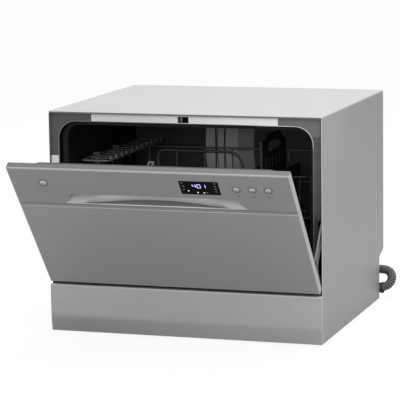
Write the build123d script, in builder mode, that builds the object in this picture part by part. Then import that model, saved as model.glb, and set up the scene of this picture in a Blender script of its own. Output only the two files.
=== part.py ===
from build123d import *
import os
from math import cos, pi, radians, sin, tan

# Countertop dishwasher, door part way open, with its drain hose. Millimetres.
# +X is right as seen from the front, the front faces -Y, +Z is up.
# The origin is on the standing surface, under the middle of the cabinet's footprint.
os.makedirs("parts", exist_ok=True)

# ---- cabinet -------------------------------------------------------------------------------
WIDTH = 550.0
DEPTH = 490.0
HEIGHT = 438.0
FOOT_HEIGHT = 4.0
SHEET = 1.0            # painted sheet of the casing
TOP_LIP = 4.0          # downturned edge of the top panel
LIP_GAP = 0.3          # shadow line between the top panel and the side panels
HEM = 2.2              # rolled front edge of a side panel
NOTCH_TOP = 103.0      # where the rear of the casing starts to step in
NOTCH_BOTTOM = 92.0
NOTCH_DEPTH = 36.0
REAR_SETBACK = 2.0     # rear panel inside the ends of the side panels

# ---- tub and front frame -------------------------------------------------------------------
TUB_SIDE_GAP = 18.5    # from the tub's inside to the outside of the casing
TUB_TOP_GAP = 20.0     # from the tub's ceiling to the top of the casing
TUB_WIDTH = WIDTH - 2 * TUB_SIDE_GAP
TUB_TOP = HEIGHT - TUB_TOP_GAP
TUB_BACK = 199.0
TUB_CORNER = 35.0
TUB_SHEET = 1.0
TUB_BASE = 116.0       # where the tub stands on the base
FLOOR_SHEET = 1.5
RIM_HEIGHT = 6.0       # sill of the tub's floor at the door
FRAME_SETBACK = 7.0    # front frame behind the front edges of the side panels
FRAME_FLANGE = 22.0
STRIP_LENGTH = 376.0
STRIP_HEIGHT = 14.8
JAMB_Z = 332.7         # lower edge of the little cover on the left post
LATCH_WIDTH = 22.0
LATCH_HEIGHT = 12.0
SEAL_WIDTH = 9.0
SEAL_DEPTH = 9.5

# ---- base and kick plate -------------------------------------------------------------------
BASE_WALL = 3.0
BASE_LEDGE = 29.0      # inward ledge that the tub stands on
KICK_TOP = 97.2
KICK_BREAK = 34.0      # height at which the kick plate starts to lean back
KICK_PROUD = 11.0      # in front of the side panels
KICK_LEAN = 4.5
KICK_WALL = 2.0
FOOT_R = 16.0
FOOT_INSET = 40.0      # middle of a foot inside the casing's side
FOOT_FRONT = -205.0
FOOT_REAR = 175.0

# ---- door ----------------------------------------------------------------------------------
DOOR_SIDE_GAP = 1.5
DOOR_TOP_GAP = 1.0
DOOR_WIDTH = WIDTH - 2 * DOOR_SIDE_GAP
DOOR_BOTTOM = 108.8
DOOR_TOP = HEIGHT - DOOR_TOP_GAP
DOOR_THICK = 14.0
DOOR_PROUD = 15.0      # closed door's face in front of the side panels
DOOR_WALL = 2.5
PANEL_HEIGHT = 102.5   # of the control panel, down to its seam with the lower panel
SEAM_HEIGHT = DOOR_TOP - PANEL_HEIGHT
SEAM_GAP = 1.0
LINER_SIDE_GAP = 4.5   # between the liner and the tub's wall
LINER_TOP_GAP = 6.0
LINER_WIDTH = TUB_WIDTH - 2 * LINER_SIDE_GAP
LINER_BOTTOM = 125.0
LINER_TOP = TUB_TOP - LINER_TOP_GAP
LINER_DEPTH = 27.0
LINER_CORNER = 30.0
PAN_ROUND = 5.0        # rounding of the raised pan's face
LINER_FLANGE = 11.0
LINER_CLEAR = 4.0      # liner's edge inside the door's top and bottom edges
SKIN_LIP = 5.0         # width of the outer panel's lip that lies on the liner's flange
BOSS_R = 3.5
HINGE_Y = -250.0
HINGE_Z = 110.0
REST_ANGLE = 39.25     # opening of the door as it stands
PIN_R = 3.0
PIN_CLEARANCE = 0.05
ARM_REACH = 127.0      # radius of the outer edge of a hinge arm's quadrant
ARM_WAIST = 92.0
ARM_END = 102.0        # angle of the quadrant's tail, from straight up to the rear
EYE_R = 7.0

# ---- controls ------------------------------------------------------------------------------
WINDOW_INSET = 175.3   # middle of the window from the door's right side
WINDOW_DROP = 37.7     # middle of the window below the door's top edge
WINDOW_WIDTH = 75.5
WINDOW_HEIGHT = 35.4
BUTTON_DROP = 39.0     # middle of the buttons below the door's top edge
BUTTON_R = 6.2
BUTTON_RING_R = 8.5
POWER_R = 7.4
POWER_RING_R = 10.0
POWER_INSET = 65.0     # from the door's left side
PROGRAM_INSET = 105.8  # from the door's right side
BUTTON_PITCH = 30.1
BUTTON_GAP = 0.3
BUTTON_PROUD = 1.0
GRIP_DROP = 66.3       # upper edge of the handle recess below the door's top edge
GRIP_HEIGHT = 29.4
GRIP_TOP_WIDTH = 319.0
GRIP_BOTTOM_WIDTH = 362.0
GRIP_DEPTH = 30.0      # of the slanted back, at the upper edge
GRIP_POCKET = 18.0     # of the finger pocket behind the lip, in its middle
GRIP_POCKET_HALF = 142.0
GRIP_SINK = 3.6        # floor of the pocket below the lip's edge
GRIP_LIP = 2.2         # thickness of the lip

# ---- detergent dispenser -------------------------------------------------------------------
DISPENSER_X = -10.0
DISPENSER_Z = 260.0
DISPENSER_WIDTH = 128.0
DISPENSER_HEIGHT = 88.0
CUP_X = -36.0
CUP_WIDTH = 60.0
CUP_HEIGHT = 68.0
CAP_X = 27.0
CAP_R = 15.0

# ---- wash system ---------------------------------------------------------------------------
HUB_Y = -10.0
HUB_R = 10.0
HUB_POST_R = 13.0
ARM_LENGTH = 376.0
ARM_HEIGHT = 10.0
ARM_LOW = 150.0
ARM_CLEARANCE = 0.05
SUMP_X, SUMP_Y = 105.0, -95.0
SUMP_R = 60.0
FILTER_R = 30.0
PUMP_Y = -95.0
PUMP_Z = 62.0
PUMP_MOTOR_R = 34.0
PUMP_VOLUTE_R = 42.0
STUB_X = 46.0          # where the sump's suction stub meets the pump's
STUB_Z = 70.0
STUB_R = 11.0
DRAIN_Z = 74.0
INLET_R = 13.2         # three-quarter inch thread of the water inlet
INLET_LENGTH = 15.0
SALT_X, SALT_Y = -140.0, 45.0
SALT_R = 30.0
FLOAT_X, FLOAT_Y = 165.0, 70.0
FLOAT_R = 15.0

# ---- rack ----------------------------------------------------------------------------------
RACK_SIDE_GAP = 20.5   # between the rack and the tub's wall
RACK_HEADROOM = 102.0  # between the rack's rim and the tub's ceiling
RACK_FRONT = -192.0
RACK_BACK = 172.0
RACK_FLOOR = 174.0
RACK_MIDDLE = 250.0
HANDLE_RISE = 44.0     # of the handle above the rack's rim
HANDLE_WIDTH = 172.0
HANDLE_X = 18.0
HANDLE_WIRE = 5.6
HANDLE_BENDS = [12.0, 30.0]         # at its left and right upper corners
WIRE = 3.2
RIM_WIRE = 4.4
TINE_ROWS = ((-110, 58), (-30, 74))    # place along Y and height of each comb
TINE_LEFT = -180.0
TINE_LENGTH = 250.0
RAIL_TOP = 149.0
GLIDE_R = 11.0
SHELF_RISE = 18.0      # of the folding shelf above the rack's rim
SHELF_WIDTH = 58.0
SHELF_FRONT = -186.0
SHELF_BACK = 146.0
SHELF_OFFSET = 3.6     # hinge wire of the cup shelf inside the rack's left wall
CLIP_YS = (-92.0, 18.5)
BASKET_X, BASKET_Y = 120.0, -40.0
BASKET_WIDTH, BASKET_LENGTH = 66.0, 170.0
BASKET_DROP = 10.0                  # its rim below the rack's rim
BASKET_HEADROOM = 38.0              # between its middle wall and the tub's ceiling

# ---- drain hose ----------------------------------------------------------------------------
HOSE_D = 18.5
CUFF_R = 10.0
CUFF_START = 246.0
CUFF_END = 281.0
CUFF_RIM_R = 11.6
OUTLET_X = 222.0
OUTLET_Y = 221.0
OUTLET_Z = 24.0
CLIP_AT = (238.0, 249.2, 54.6)      # middle of the clip on the hose's upper limb
INLET_INSET = 75.0     # from the casing's left side
GLAND_INSET = 135.0
REAR_HOLES = {                       # through the base's rear wall: x, z, radius
    "inlet": (INLET_INSET - WIDTH / 2, 50.0, 14.0),
    "gland": (GLAND_INSET - WIDTH / 2, 40.0, 7.0),
    "outlet": (OUTLET_X, OUTLET_Z, 8.0),
}
COIL_X, COIL_Y = 20.0, 375.0
COIL_OUTER = 112.0     # centre line of the outer turn
COIL_INNER = 93.0
END_CUFF_R = 11.5
END_BORE_R = 9.0
END_BORE_LENGTH = 28.0
END_CUFF_LENGTH = 50.0
# Centre line of the hose from its cuff, round the tight bend beside the cabinet, to the coil.
HOSE_POINTS = [
    (275.0, 221.0, 24.0),
    (286.6, 222.8, 26.5),
    (294.8, 228.0, 34.0),
    (296.7, 234.9, 43.9),
    (291.7, 241.3, 53.1),
    (281.5, 245.0, 58.5),
    (259.0, 247.5, 58.0),
    (222.0, 250.5, 51.0),
    (168.0, 254.5, 33.0),
    (112.0, 258.5, 16.5),
    (64.0, 262.0, 10.2),
    (26.0, 262.8, 9.6),
]


# ---- places worked out from the sizes above --------------------------------------------------
FOOT_X = WIDTH / 2 - FOOT_INSET
WINDOW_X = DOOR_WIDTH / 2 - WINDOW_INSET
WINDOW_Z = DOOR_TOP - WINDOW_DROP
BUTTON_Z = DOOR_TOP - BUTTON_DROP
POWER_X = POWER_INSET - DOOR_WIDTH / 2
PROGRAM_X = DOOR_WIDTH / 2 - PROGRAM_INSET
GRIP_TOP = DOOR_TOP - GRIP_DROP
GRIP_BOTTOM = GRIP_TOP - GRIP_HEIGHT
GRIP_FLOOR = GRIP_BOTTOM - GRIP_SINK
RACK_WIDTH = TUB_WIDTH - 2 * RACK_SIDE_GAP
RACK_RIM = TUB_TOP - RACK_HEADROOM
HANDLE_HEIGHT = RACK_RIM + HANDLE_RISE
SHELF_Z = RACK_RIM + SHELF_RISE
BASKET_HEIGHT = RACK_RIM - RACK_FLOOR - BASKET_DROP
BASKET_HANDLE = TUB_TOP - BASKET_HEADROOM
END_Y = COIL_Y + COIL_OUTER - 4.0
END_Z = HOSE_D + END_CUFF_R + 0.2
END_MOUTH = COIL_X + 37.0
# The climb from the left side of the inner turn up to the end cuff on the outer turn.
CLIMB_POINTS = [
    (COIL_X - COIL_INNER, COIL_Y, HOSE_D / 2),
    (COIL_X - COIL_INNER + 2, COIL_Y + 34, HOSE_D / 2 + 2),
    (COIL_X - 74, COIL_Y + 75, 19.0),
    (COIL_X - 35, END_Y - 3, END_Z - 1),
    (END_MOUTH - END_BORE_LENGTH - 4, END_Y, END_Z),
]
FRONT = -DEPTH / 2
REAR = DEPTH / 2
SIDE_INNER = WIDTH / 2 - SHEET
REAR_FACE = REAR - REAR_SETBACK
BASE_REAR = REAR - NOTCH_DEPTH
SIDE_TOP = HEIGHT - TOP_LIP - LIP_GAP
CEILING = HEIGHT - SHEET
FRAME_FRONT = FRONT + FRAME_SETBACK
FRAME_BACK = FRAME_FRONT + SHEET
TUB_FRONT = FRAME_FRONT - SHEET
TUB_FLOOR_TOP = TUB_BASE + FLOOR_SHEET
SILL = TUB_BASE + RIM_HEIGHT
STRIP_BOTTOM = TUB_TOP + TUB_SHEET + 0.2
LATCH_BOTTOM = STRIP_BOTTOM + 0.6
DOOR_FRONT = FRONT - DOOR_PROUD
DOOR_BACK = DOOR_FRONT + DOOR_THICK
LINER_BACK = DOOR_BACK + SHEET + LINER_DEPTH
DISPENSER_FACE = LINER_BACK + 1.5
LID_Y = DISPENSER_FACE + 2.6
LID_Z = DISPENSER_Z - CUP_HEIGHT / 2 - 5.0
SEAL_FRONT = LINER_BACK + 0.5
SEAL_BACK = SEAL_FRONT + SEAL_DEPTH
HINGE_AXIS = Axis((0, HINGE_Y, HINGE_Z), (1, 0, 0))
ARM_OUT = SIDE_INNER - 1.7          # outer face of a hinge arm
ARM_SHEET = 2.5
ARM_IN = ARM_OUT - ARM_SHEET
BRACKET_SHEET = 3.0
BRACKET_IN = ARM_IN - 0.8 - BRACKET_SHEET
BUTTON_XS = {
    "button_power": POWER_X,
    "button_program": PROGRAM_X,
    "button_option": PROGRAM_X + BUTTON_PITCH,
    "button_start": PROGRAM_X + 2 * BUTTON_PITCH,
}


def save(part, name, with_door=False):
    """Write one piece; a piece of the door is made closed and turned to its standing angle."""
    shape = part.rotate(HINGE_AXIS, REST_ANGLE) if with_door else part
    shape.label = name
    export_step(shape, "parts/" + name + ".step")


def both_sides(part):
    """A right-hand piece together with its mirror image on the left."""
    return Compound(children=[part, part.mirror(Plane.YZ)])


def add_box(x, y, z, mode=Mode.ADD):
    """A box between limits on each axis, in the part being built."""
    with Locations(((x[0] + x[1]) / 2, (y[0] + y[1]) / 2, (z[0] + z[1]) / 2)):
        Box(x[1] - x[0], y[1] - y[0], z[1] - z[0], mode=mode)


def cylinder_y(x, z, r, y0, y1, mode=Mode.ADD):
    """A cylinder along Y between y0 and y1, in the part being built."""
    with Locations((x, (y0 + y1) / 2, z)):
        Cylinder(r, y1 - y0, rotation=(90, 0, 0), mode=mode)


def cylinder_x(y, z, r, x0, x1, mode=Mode.ADD):
    """A cylinder along X between x0 and x1, in the part being built."""
    with Locations(((x0 + x1) / 2, y, z)):
        Cylinder(r, x1 - x0, rotation=(0, 90, 0), mode=mode)


def cylinder_z(x, y, r, z0, z1, mode=Mode.ADD):
    """A cylinder along Z between z0 and z1, in the part being built."""
    with Locations((x, y, (z0 + z1) / 2)):
        Cylinder(r, z1 - z0, mode=mode)


def arch(half_width, low, high, corner):
    """Face of a doorway shape: straight sides and rounded upper corners."""
    with BuildLine(mode=Mode.PRIVATE) as outline:
        Polyline(
            (-half_width, high - corner), (-half_width, low), (half_width, low), (half_width, high - corner),
        )
        RadiusArc((half_width, high - corner), (half_width - corner, high), -corner)
        Line((half_width - corner, high), (corner - half_width, high))
        RadiusArc((corner - half_width, high), (-half_width, high - corner), -corner)
    return make_face(outline.edges(), mode=Mode.PRIVATE)


# ---- casing --------------------------------------------------------------------------------
def top_panel():
    """Pressed sheet top with a short downturned lip all round."""
    with BuildPart() as panel:
        with BuildSketch(Plane.XY.offset(HEIGHT - TOP_LIP)):
            RectangleRounded(WIDTH, DEPTH, 4)
        extrude(amount=TOP_LIP)
        fillet(panel.faces().sort_by(Axis.Z)[-1].edges(), 1.4)
        with BuildSketch(Plane.XY.offset(HEIGHT - TOP_LIP)):
            RectangleRounded(WIDTH - 2 * SHEET, DEPTH - 2 * SHEET, 3)
        extrude(amount=TOP_LIP - SHEET, mode=Mode.SUBTRACT)
    save(panel.part, "top_panel")


def side_panel(name, sign):
    """Side sheet with the stepped rear edge and a rolled front edge."""
    x0 = sign * SIDE_INNER
    with BuildPart() as panel:
        with BuildSketch(Plane.YZ.offset(x0)):
            with BuildLine():
                Polyline(
                    (FRONT, FOOT_HEIGHT), (FRONT, SIDE_TOP), (REAR, SIDE_TOP), (REAR, NOTCH_TOP),
                    (BASE_REAR, NOTCH_BOTTOM), (BASE_REAR, FOOT_HEIGHT), (FRONT, FOOT_HEIGHT),
                )
            make_face()
        extrude(amount=sign * SHEET)
        edges = panel.edges().filter_by(Axis.X)
        fillet(edges.filter_by_position(Axis.Z, NOTCH_BOTTOM - 1, NOTCH_TOP + 1), 9)
        hem = sorted((sign * WIDTH / 2, sign * (WIDTH / 2 - HEM)))
        add_box(hem, (FRONT, FRONT + 3.0), (FOOT_HEIGHT, SIDE_TOP))
        front = panel.edges().filter_by(Axis.Z).group_by(Axis.Y)[0]
        fillet(front, 0.9)
    save(panel.part, name)


def rear_panel():
    """Rear sheet that steps forward above the base, with a row of vents."""
    with BuildPart() as panel:
        with BuildSketch(Plane.YZ.offset(-SIDE_INNER)):
            with BuildLine():
                Polyline(
                    (REAR_FACE, SIDE_TOP), (REAR_FACE, NOTCH_TOP), (BASE_REAR, NOTCH_BOTTOM),
                    (BASE_REAR, NOTCH_BOTTOM + 1.1 * SHEET), (REAR_FACE - SHEET, NOTCH_TOP + 0.8 * SHEET),
                    (REAR_FACE - SHEET, SIDE_TOP), (REAR_FACE, SIDE_TOP),
                )
            make_face()
        extrude(amount=2 * SIDE_INNER)
        with BuildSketch(Plane.XZ.offset(-REAR_FACE)):
            with Locations((0, NOTCH_TOP + 60)):
                with GridLocations(62, 14, 4, 3):
                    SlotOverall(48, 5)
        extrude(amount=2 * SHEET, both=True, mode=Mode.SUBTRACT)
    save(panel.part, "rear_panel")


def base_tray():
    """Moulded base: floor, walls, the ledge that the tub stands on and the pump cradle."""
    outer, inner = SIDE_INNER, SIDE_INNER - BASE_WALL
    front = FRAME_FRONT - 2.0
    low = FOOT_HEIGHT
    with BuildPart() as base:
        add_box((-outer, outer), (front, BASE_REAR), (low, TUB_BASE))
        add_box((-inner, inner), (front + BASE_WALL, BASE_REAR - BASE_WALL),
                (low + BASE_WALL, TUB_BASE - BASE_WALL), Mode.SUBTRACT)
        ledge = outer - BASE_LEDGE
        add_box((-ledge, ledge), (front + BASE_LEDGE, BASE_REAR - BASE_LEDGE),
                (TUB_BASE - 2 * BASE_WALL, TUB_BASE + 1), Mode.SUBTRACT)
        for sign in (-1, 1):
            notch = sorted((sign * (BRACKET_IN - 0.5), sign * SIDE_INNER))
            add_box(notch, (front - 1, front + BASE_WALL + 1), (HINGE_Z - 4, TUB_BASE + 1), Mode.SUBTRACT)
            well = sorted((sign * (ARM_IN - 0.7), sign * (SIDE_INNER + 1)))
            tail = around_hinge(ARM_REACH, ARM_END)[1]
            add_box(well, (front - 1, HINGE_Y + ARM_REACH + 3), (tail - 3, TUB_BASE + 1), Mode.SUBTRACT)
        add_box((-70, -10), (PUMP_Y - 30, PUMP_Y + 30), (low + BASE_WALL, PUMP_Z - 14))
        cylinder_x(PUMP_Y, PUMP_Z, PUMP_MOTOR_R, -71, -9, Mode.SUBTRACT)
        with BuildSketch(Plane.XY.offset(low)):
            with Locations(*[(x, y) for x in (-FOOT_X, FOOT_X) for y in (FOOT_FRONT, FOOT_REAR)]):
                Circle(5)
        extrude(amount=BASE_WALL, mode=Mode.SUBTRACT)
        for x, z, r in REAR_HOLES.values():
            cylinder_y(x, z, r, BASE_REAR - 2 * BASE_WALL, BASE_REAR + 1, Mode.SUBTRACT)
    save(base.part, "base_tray")


def kick_plate():
    """Plinth cover below the door, upright above and leaning back near the floor."""
    front = FRONT - KICK_PROUD
    inner = front + KICK_WALL
    foot = front + KICK_LEAN
    with BuildPart() as plate:
        with BuildSketch(Plane.YZ.offset(-WIDTH / 2)):
            with BuildLine():
                Polyline(
                    (front, KICK_TOP), (front + 0.6, KICK_BREAK), (foot, FOOT_HEIGHT),
                    (FRONT - 0.2, FOOT_HEIGHT), (FRONT - 0.2, KICK_TOP), (front, KICK_TOP),
                )
            make_face()
        extrude(amount=WIDTH)
        fillet(plate.faces().sort_by(Axis.Y)[0].edges().filter_by(Axis.X).sort_by(Axis.Z)[-1], 3.0)
        fillet(plate.edges().filter_by(Axis.X).sort_by_distance((0, front + 0.6, KICK_BREAK))[0], 40)
        with BuildSketch(Plane.YZ.offset(-WIDTH / 2 + KICK_WALL)):
            with BuildLine():
                Polyline(
                    (inner, KICK_TOP - KICK_WALL), (inner + 0.6, KICK_BREAK),
                    (foot + KICK_WALL, FOOT_HEIGHT - 1), (FRONT + 5, FOOT_HEIGHT - 1),
                    (FRONT + 5, KICK_TOP - KICK_WALL), (inner, KICK_TOP - KICK_WALL),
                )
            make_face()
        extrude(amount=WIDTH - 2 * KICK_WALL, mode=Mode.SUBTRACT)
        add_box((-SIDE_INNER + 2, SIDE_INNER - 2), (FRONT - 1.0, FRAME_FRONT - 2.2),
                (KICK_TOP - KICK_WALL, KICK_TOP))
    save(plate.part, "kick_plate")


def feet():
    """Four rubber feet, each with a stud pushed into the base."""
    with BuildPart() as foot:
        with Locations(*[(x, y, 0) for x in (-FOOT_X, FOOT_X) for y in (FOOT_FRONT, FOOT_REAR)]):
            Cylinder(FOOT_R, FOOT_HEIGHT, align=(Align.CENTER, Align.CENTER, Align.MIN))
        chamfer(foot.faces().sort_by(Axis.Z)[0:4].edges(), 1.0)
        with Locations(*[(x, y, FOOT_HEIGHT) for x in (-FOOT_X, FOOT_X) for y in (FOOT_FRONT, FOOT_REAR)]):
            Cylinder(5, 8, align=(Align.CENTER, Align.CENTER, Align.MIN))
    save(foot.part, "feet")


def cabinet_screws():
    """Round heads that hold the rear panel."""
    xs = (-0.93 * SIDE_INNER, -0.31 * SIDE_INNER, 0.31 * SIDE_INNER, 0.93 * SIDE_INNER)
    with BuildPart() as heads:
        for z in (SIDE_TOP - 14, NOTCH_TOP + 16):
            for x in xs:
                cylinder_y(x, z, 4.0, REAR_FACE, REAR_FACE + 1.8)
        fillet(heads.faces().group_by(Axis.Y)[-1].edges(), 0.8)
    save(heads.part, "cabinet_screws")


# ---- front frame and tub -------------------------------------------------------------------
def front_frame():
    """Stainless plate round the opening, flanged back at the top and sides."""
    slot_low = TUB_BASE - 1
    slot_high = HINGE_Z + ARM_REACH + 3
    with BuildPart() as frame:
        with BuildSketch(Plane.XZ.offset(-FRAME_BACK)):
            add(arch(SIDE_INNER, TUB_BASE, CEILING, 5))
            mouth = arch(TUB_WIDTH / 2 + TUB_SHEET, SILL, TUB_TOP + TUB_SHEET, TUB_CORNER + TUB_SHEET)
            add(mouth, mode=Mode.SUBTRACT)
        extrude(amount=SHEET)
        add_box((-SIDE_INNER + 6, SIDE_INNER - 6), (FRAME_FRONT, FRAME_FRONT + FRAME_FLANGE),
                (CEILING - SHEET, CEILING))
        for sign in (-1, 1):
            flange = sorted((sign * SIDE_INNER, sign * (SIDE_INNER - SHEET)))
            add_box(flange, (FRAME_FRONT, FRAME_FRONT + FRAME_FLANGE), (TUB_BASE, CEILING - 5))
            slot = sorted((sign * (BRACKET_IN - 0.5), sign * (SIDE_INNER - SHEET)))
            add_box(slot, (FRAME_FRONT - 1, FRAME_BACK + 1), (slot_low, slot_high), Mode.SUBTRACT)
        add_box((-LATCH_WIDTH / 2, LATCH_WIDTH / 2), (FRAME_FRONT - 1, FRAME_BACK + 1),
                (LATCH_BOTTOM, LATCH_BOTTOM + LATCH_HEIGHT), Mode.SUBTRACT)
    save(frame.part, "front_frame")


def top_trim_strip():
    """Bright strip above the opening, with the slot that the latch reaches through."""
    with BuildPart() as strip:
        add_box((-STRIP_LENGTH / 2, STRIP_LENGTH / 2), (TUB_FRONT, FRAME_FRONT),
                (STRIP_BOTTOM, STRIP_BOTTOM + STRIP_HEIGHT))
        add_box((-LATCH_WIDTH / 2, LATCH_WIDTH / 2), (TUB_FRONT - 1, FRAME_FRONT + 1),
                (LATCH_BOTTOM, LATCH_BOTTOM + LATCH_HEIGHT), Mode.SUBTRACT)
    save(strip.part, "top_trim_strip")


def jamb_plate():
    """Small square cover on the left post of the frame."""
    x = -(TUB_WIDTH / 2 + SIDE_INNER) / 2
    with BuildPart() as plate:
        add_box((x - 7.6, x + 7.6), (TUB_FRONT - 1.2, FRAME_FRONT), (JAMB_Z, JAMB_Z + 17.7))
        fillet(plate.edges().filter_by(Axis.Y), 1.5)
        fillet(plate.faces().sort_by(Axis.Y)[0].edges(), 0.6)
    save(plate.part, "jamb_plate")


def latch_housing():
    """Catch box behind the strip, open to the front where the strike enters."""
    half = LATCH_WIDTH / 2
    with BuildPart() as housing:
        add_box((-half - 6, half + 6), (FRAME_BACK, FRAME_BACK + 30), (STRIP_BOTTOM, CEILING - SHEET))
        add_box((-half, half), (FRAME_BACK - 1, FRAME_BACK + 24),
                (LATCH_BOTTOM, LATCH_BOTTOM + LATCH_HEIGHT), Mode.SUBTRACT)
        add_box((-half, -half + 5), (FRAME_BACK + 1, FRAME_BACK + 24),
                (LATCH_BOTTOM, LATCH_BOTTOM + LATCH_HEIGHT))
    save(housing.part, "latch_housing")


def tub_wrapper():
    """Sides and top of the tub, bent from one sheet; its front edge shows as a bright rim."""
    half = TUB_WIDTH / 2
    with BuildPart() as wrapper:
        with BuildSketch(Plane.XZ.offset(-TUB_BACK)):
            add(arch(half + TUB_SHEET, TUB_BASE, TUB_TOP + TUB_SHEET, TUB_CORNER + TUB_SHEET))
            add(arch(half, TUB_BASE - 1, TUB_TOP, TUB_CORNER), mode=Mode.SUBTRACT)
        extrude(amount=TUB_BACK - FRAME_BACK)
        with BuildSketch(Plane.XZ.offset(-FRAME_BACK)):
            add(arch(half + TUB_SHEET, SILL, TUB_TOP + TUB_SHEET, TUB_CORNER + TUB_SHEET))
            add(arch(half, SILL - 1, TUB_TOP, TUB_CORNER), mode=Mode.SUBTRACT)
        extrude(amount=FRAME_BACK - TUB_FRONT)
    save(wrapper.part, "tub_wrapper")


def tub_back():
    """Rear wall of the tub with a raised panel."""
    half = TUB_WIDTH / 2
    with BuildPart() as back:
        with BuildSketch(Plane.XZ.offset(-TUB_BACK - TUB_SHEET)):
            add(arch(half + TUB_SHEET, TUB_BASE, TUB_TOP + TUB_SHEET, TUB_CORNER + TUB_SHEET))
        extrude(amount=TUB_SHEET)
        with BuildSketch(Plane.XZ.offset(-TUB_BACK - TUB_SHEET)):
            with Locations((0, 0.6 * TUB_TOP)):
                RectangleRounded(0.8 * TUB_WIDTH, 0.45 * TUB_TOP, 20)
        extrude(amount=-2.0)
        fillet(back.faces().sort_by(Axis.Y)[-1].edges(), 1.2)
    save(back.part, "tub_back")


def tub_floor():
    """Tray of the tub: low rims, and holes for the sump, spray hub, salt neck and float."""
    half = TUB_WIDTH / 2
    with BuildPart() as tray:
        add_box((-half, half), (FRAME_BACK, TUB_BACK), (TUB_BASE, TUB_BASE + 10))
        add_box((-half + 1.5, half - 1.5), (FRAME_BACK + 1.5, TUB_BACK - 1.5),
                (TUB_FLOOR_TOP, TUB_BASE + 11), Mode.SUBTRACT)
        add_box((-half + 1.5, half - 1.5), (FRAME_BACK - 1, FRAME_BACK + 2), (SILL, TUB_BASE + 11),
                Mode.SUBTRACT)
        for x, y, r in (
            (SUMP_X, SUMP_Y, SUMP_R), (0.0, HUB_Y, HUB_POST_R), (SALT_X, SALT_Y, SALT_R),
            (FLOAT_X, FLOAT_Y, FLOAT_R - 5),
        ):
            cylinder_z(x, y, r, TUB_BASE - 1, TUB_BASE + 3, Mode.SUBTRACT)
    save(tray.part, "tub_floor")


def tub_rails():
    """Angle rails on the tub's side walls, which carry the rack."""
    half = TUB_WIDTH / 2
    with BuildPart() as rail:
        add_box((half - 14, half), (RACK_FRONT - 12, TUB_BACK - 8), (RAIL_TOP - 3, RAIL_TOP))
        add_box((half - 2, half), (RACK_FRONT - 12, TUB_BACK - 8), (RAIL_TOP - 3, RAIL_TOP + 9))
        add_box((half - 14, half - 12), (RACK_FRONT - 12, RACK_FRONT - 9), (RAIL_TOP, RAIL_TOP + 4))
    save(both_sides(rail.part), "tub_rails")


def door_seals():
    """Rubber seal round the tub's mouth: an arch and a straight lower length."""
    half = TUB_WIDTH / 2
    with BuildPart() as seal:
        with BuildSketch(Plane.XZ.offset(-SEAL_BACK)):
            add(arch(half, TUB_BASE + 10, TUB_TOP, TUB_CORNER))
            add(arch(half - SEAL_WIDTH, TUB_BASE, TUB_TOP - SEAL_WIDTH, TUB_CORNER - SEAL_WIDTH),
                mode=Mode.SUBTRACT)
        extrude(amount=SEAL_DEPTH)
    with BuildPart() as lower:
        add_box((-half + 1.5, half - 1.5), (SEAL_FRONT, SEAL_BACK), (TUB_FLOOR_TOP, TUB_BASE + 9.8))
        fillet(lower.edges().filter_by(Axis.X).group_by(Axis.Z)[-1], 3)
    save(Compound(children=[seal.part, lower.part]), "door_seals")


def air_breather():
    """Flat moulded water distributor in the gap left of the tub."""
    low, high = -SIDE_INNER + 0.3, -TUB_WIDTH / 2 - TUB_SHEET
    with BuildPart() as breather:
        add_box((low, high), (-60, 130), (150, TUB_TOP - 33))
        fillet(breather.edges().filter_by(Axis.X), 14)
        with BuildSketch(Plane.YZ.offset(low)):
            with Locations((35, TUB_TOP - 151)):
                with GridLocations(84, 60, 2, 3):
                    RectangleRounded(70, 48, 8)
        extrude(amount=4, mode=Mode.SUBTRACT)
    save(breather.part, "air_breather")


# ---- hinges --------------------------------------------------------------------------------
def around_hinge(radius, degrees):
    """A point at this radius from the hinge; 0 degrees is straight up, 90 is to the rear."""
    return (HINGE_Y + radius * sin(radians(degrees)), HINGE_Z + radius * cos(radians(degrees)))


def hinge_arms():
    """Swan-necked levers of the door, which run back into the cabinet through slots."""
    eye = (HINGE_Y, HINGE_Z)
    with BuildPart() as arm:
        with BuildSketch(Plane.YZ.offset(ARM_IN)):
            with BuildLine():
                Polyline(
                    (HINGE_Y - EYE_R, HINGE_Z), around_hinge(72, 11), around_hinge(ARM_REACH, 46),
                )
                ThreePointArc(around_hinge(ARM_REACH, 46), around_hinge(ARM_REACH, 74),
                              around_hinge(ARM_REACH, ARM_END))
                Line(around_hinge(ARM_REACH, ARM_END), around_hinge(ARM_WAIST, ARM_END))
                ThreePointArc(around_hinge(ARM_WAIST, ARM_END), around_hinge(ARM_WAIST, 74),
                              around_hinge(ARM_WAIST, 47))
                Polyline(
                    around_hinge(ARM_WAIST, 47), around_hinge(50, 18), (HINGE_Y + EYE_R, HINGE_Z),
                    (HINGE_Y - EYE_R, HINGE_Z),
                )
            make_face()
            with Locations(eye):
                Circle(EYE_R)
                Circle(PIN_R + PIN_CLEARANCE, mode=Mode.SUBTRACT)
        extrude(amount=ARM_SHEET)
        corner = around_hinge(50, 18)
        fillet(arm.edges().filter_by(Axis.X).sort_by_distance((ARM_IN, corner[0], corner[1]))[0], 14)
    save(both_sides(arm.part), "hinge_arms", True)


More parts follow.
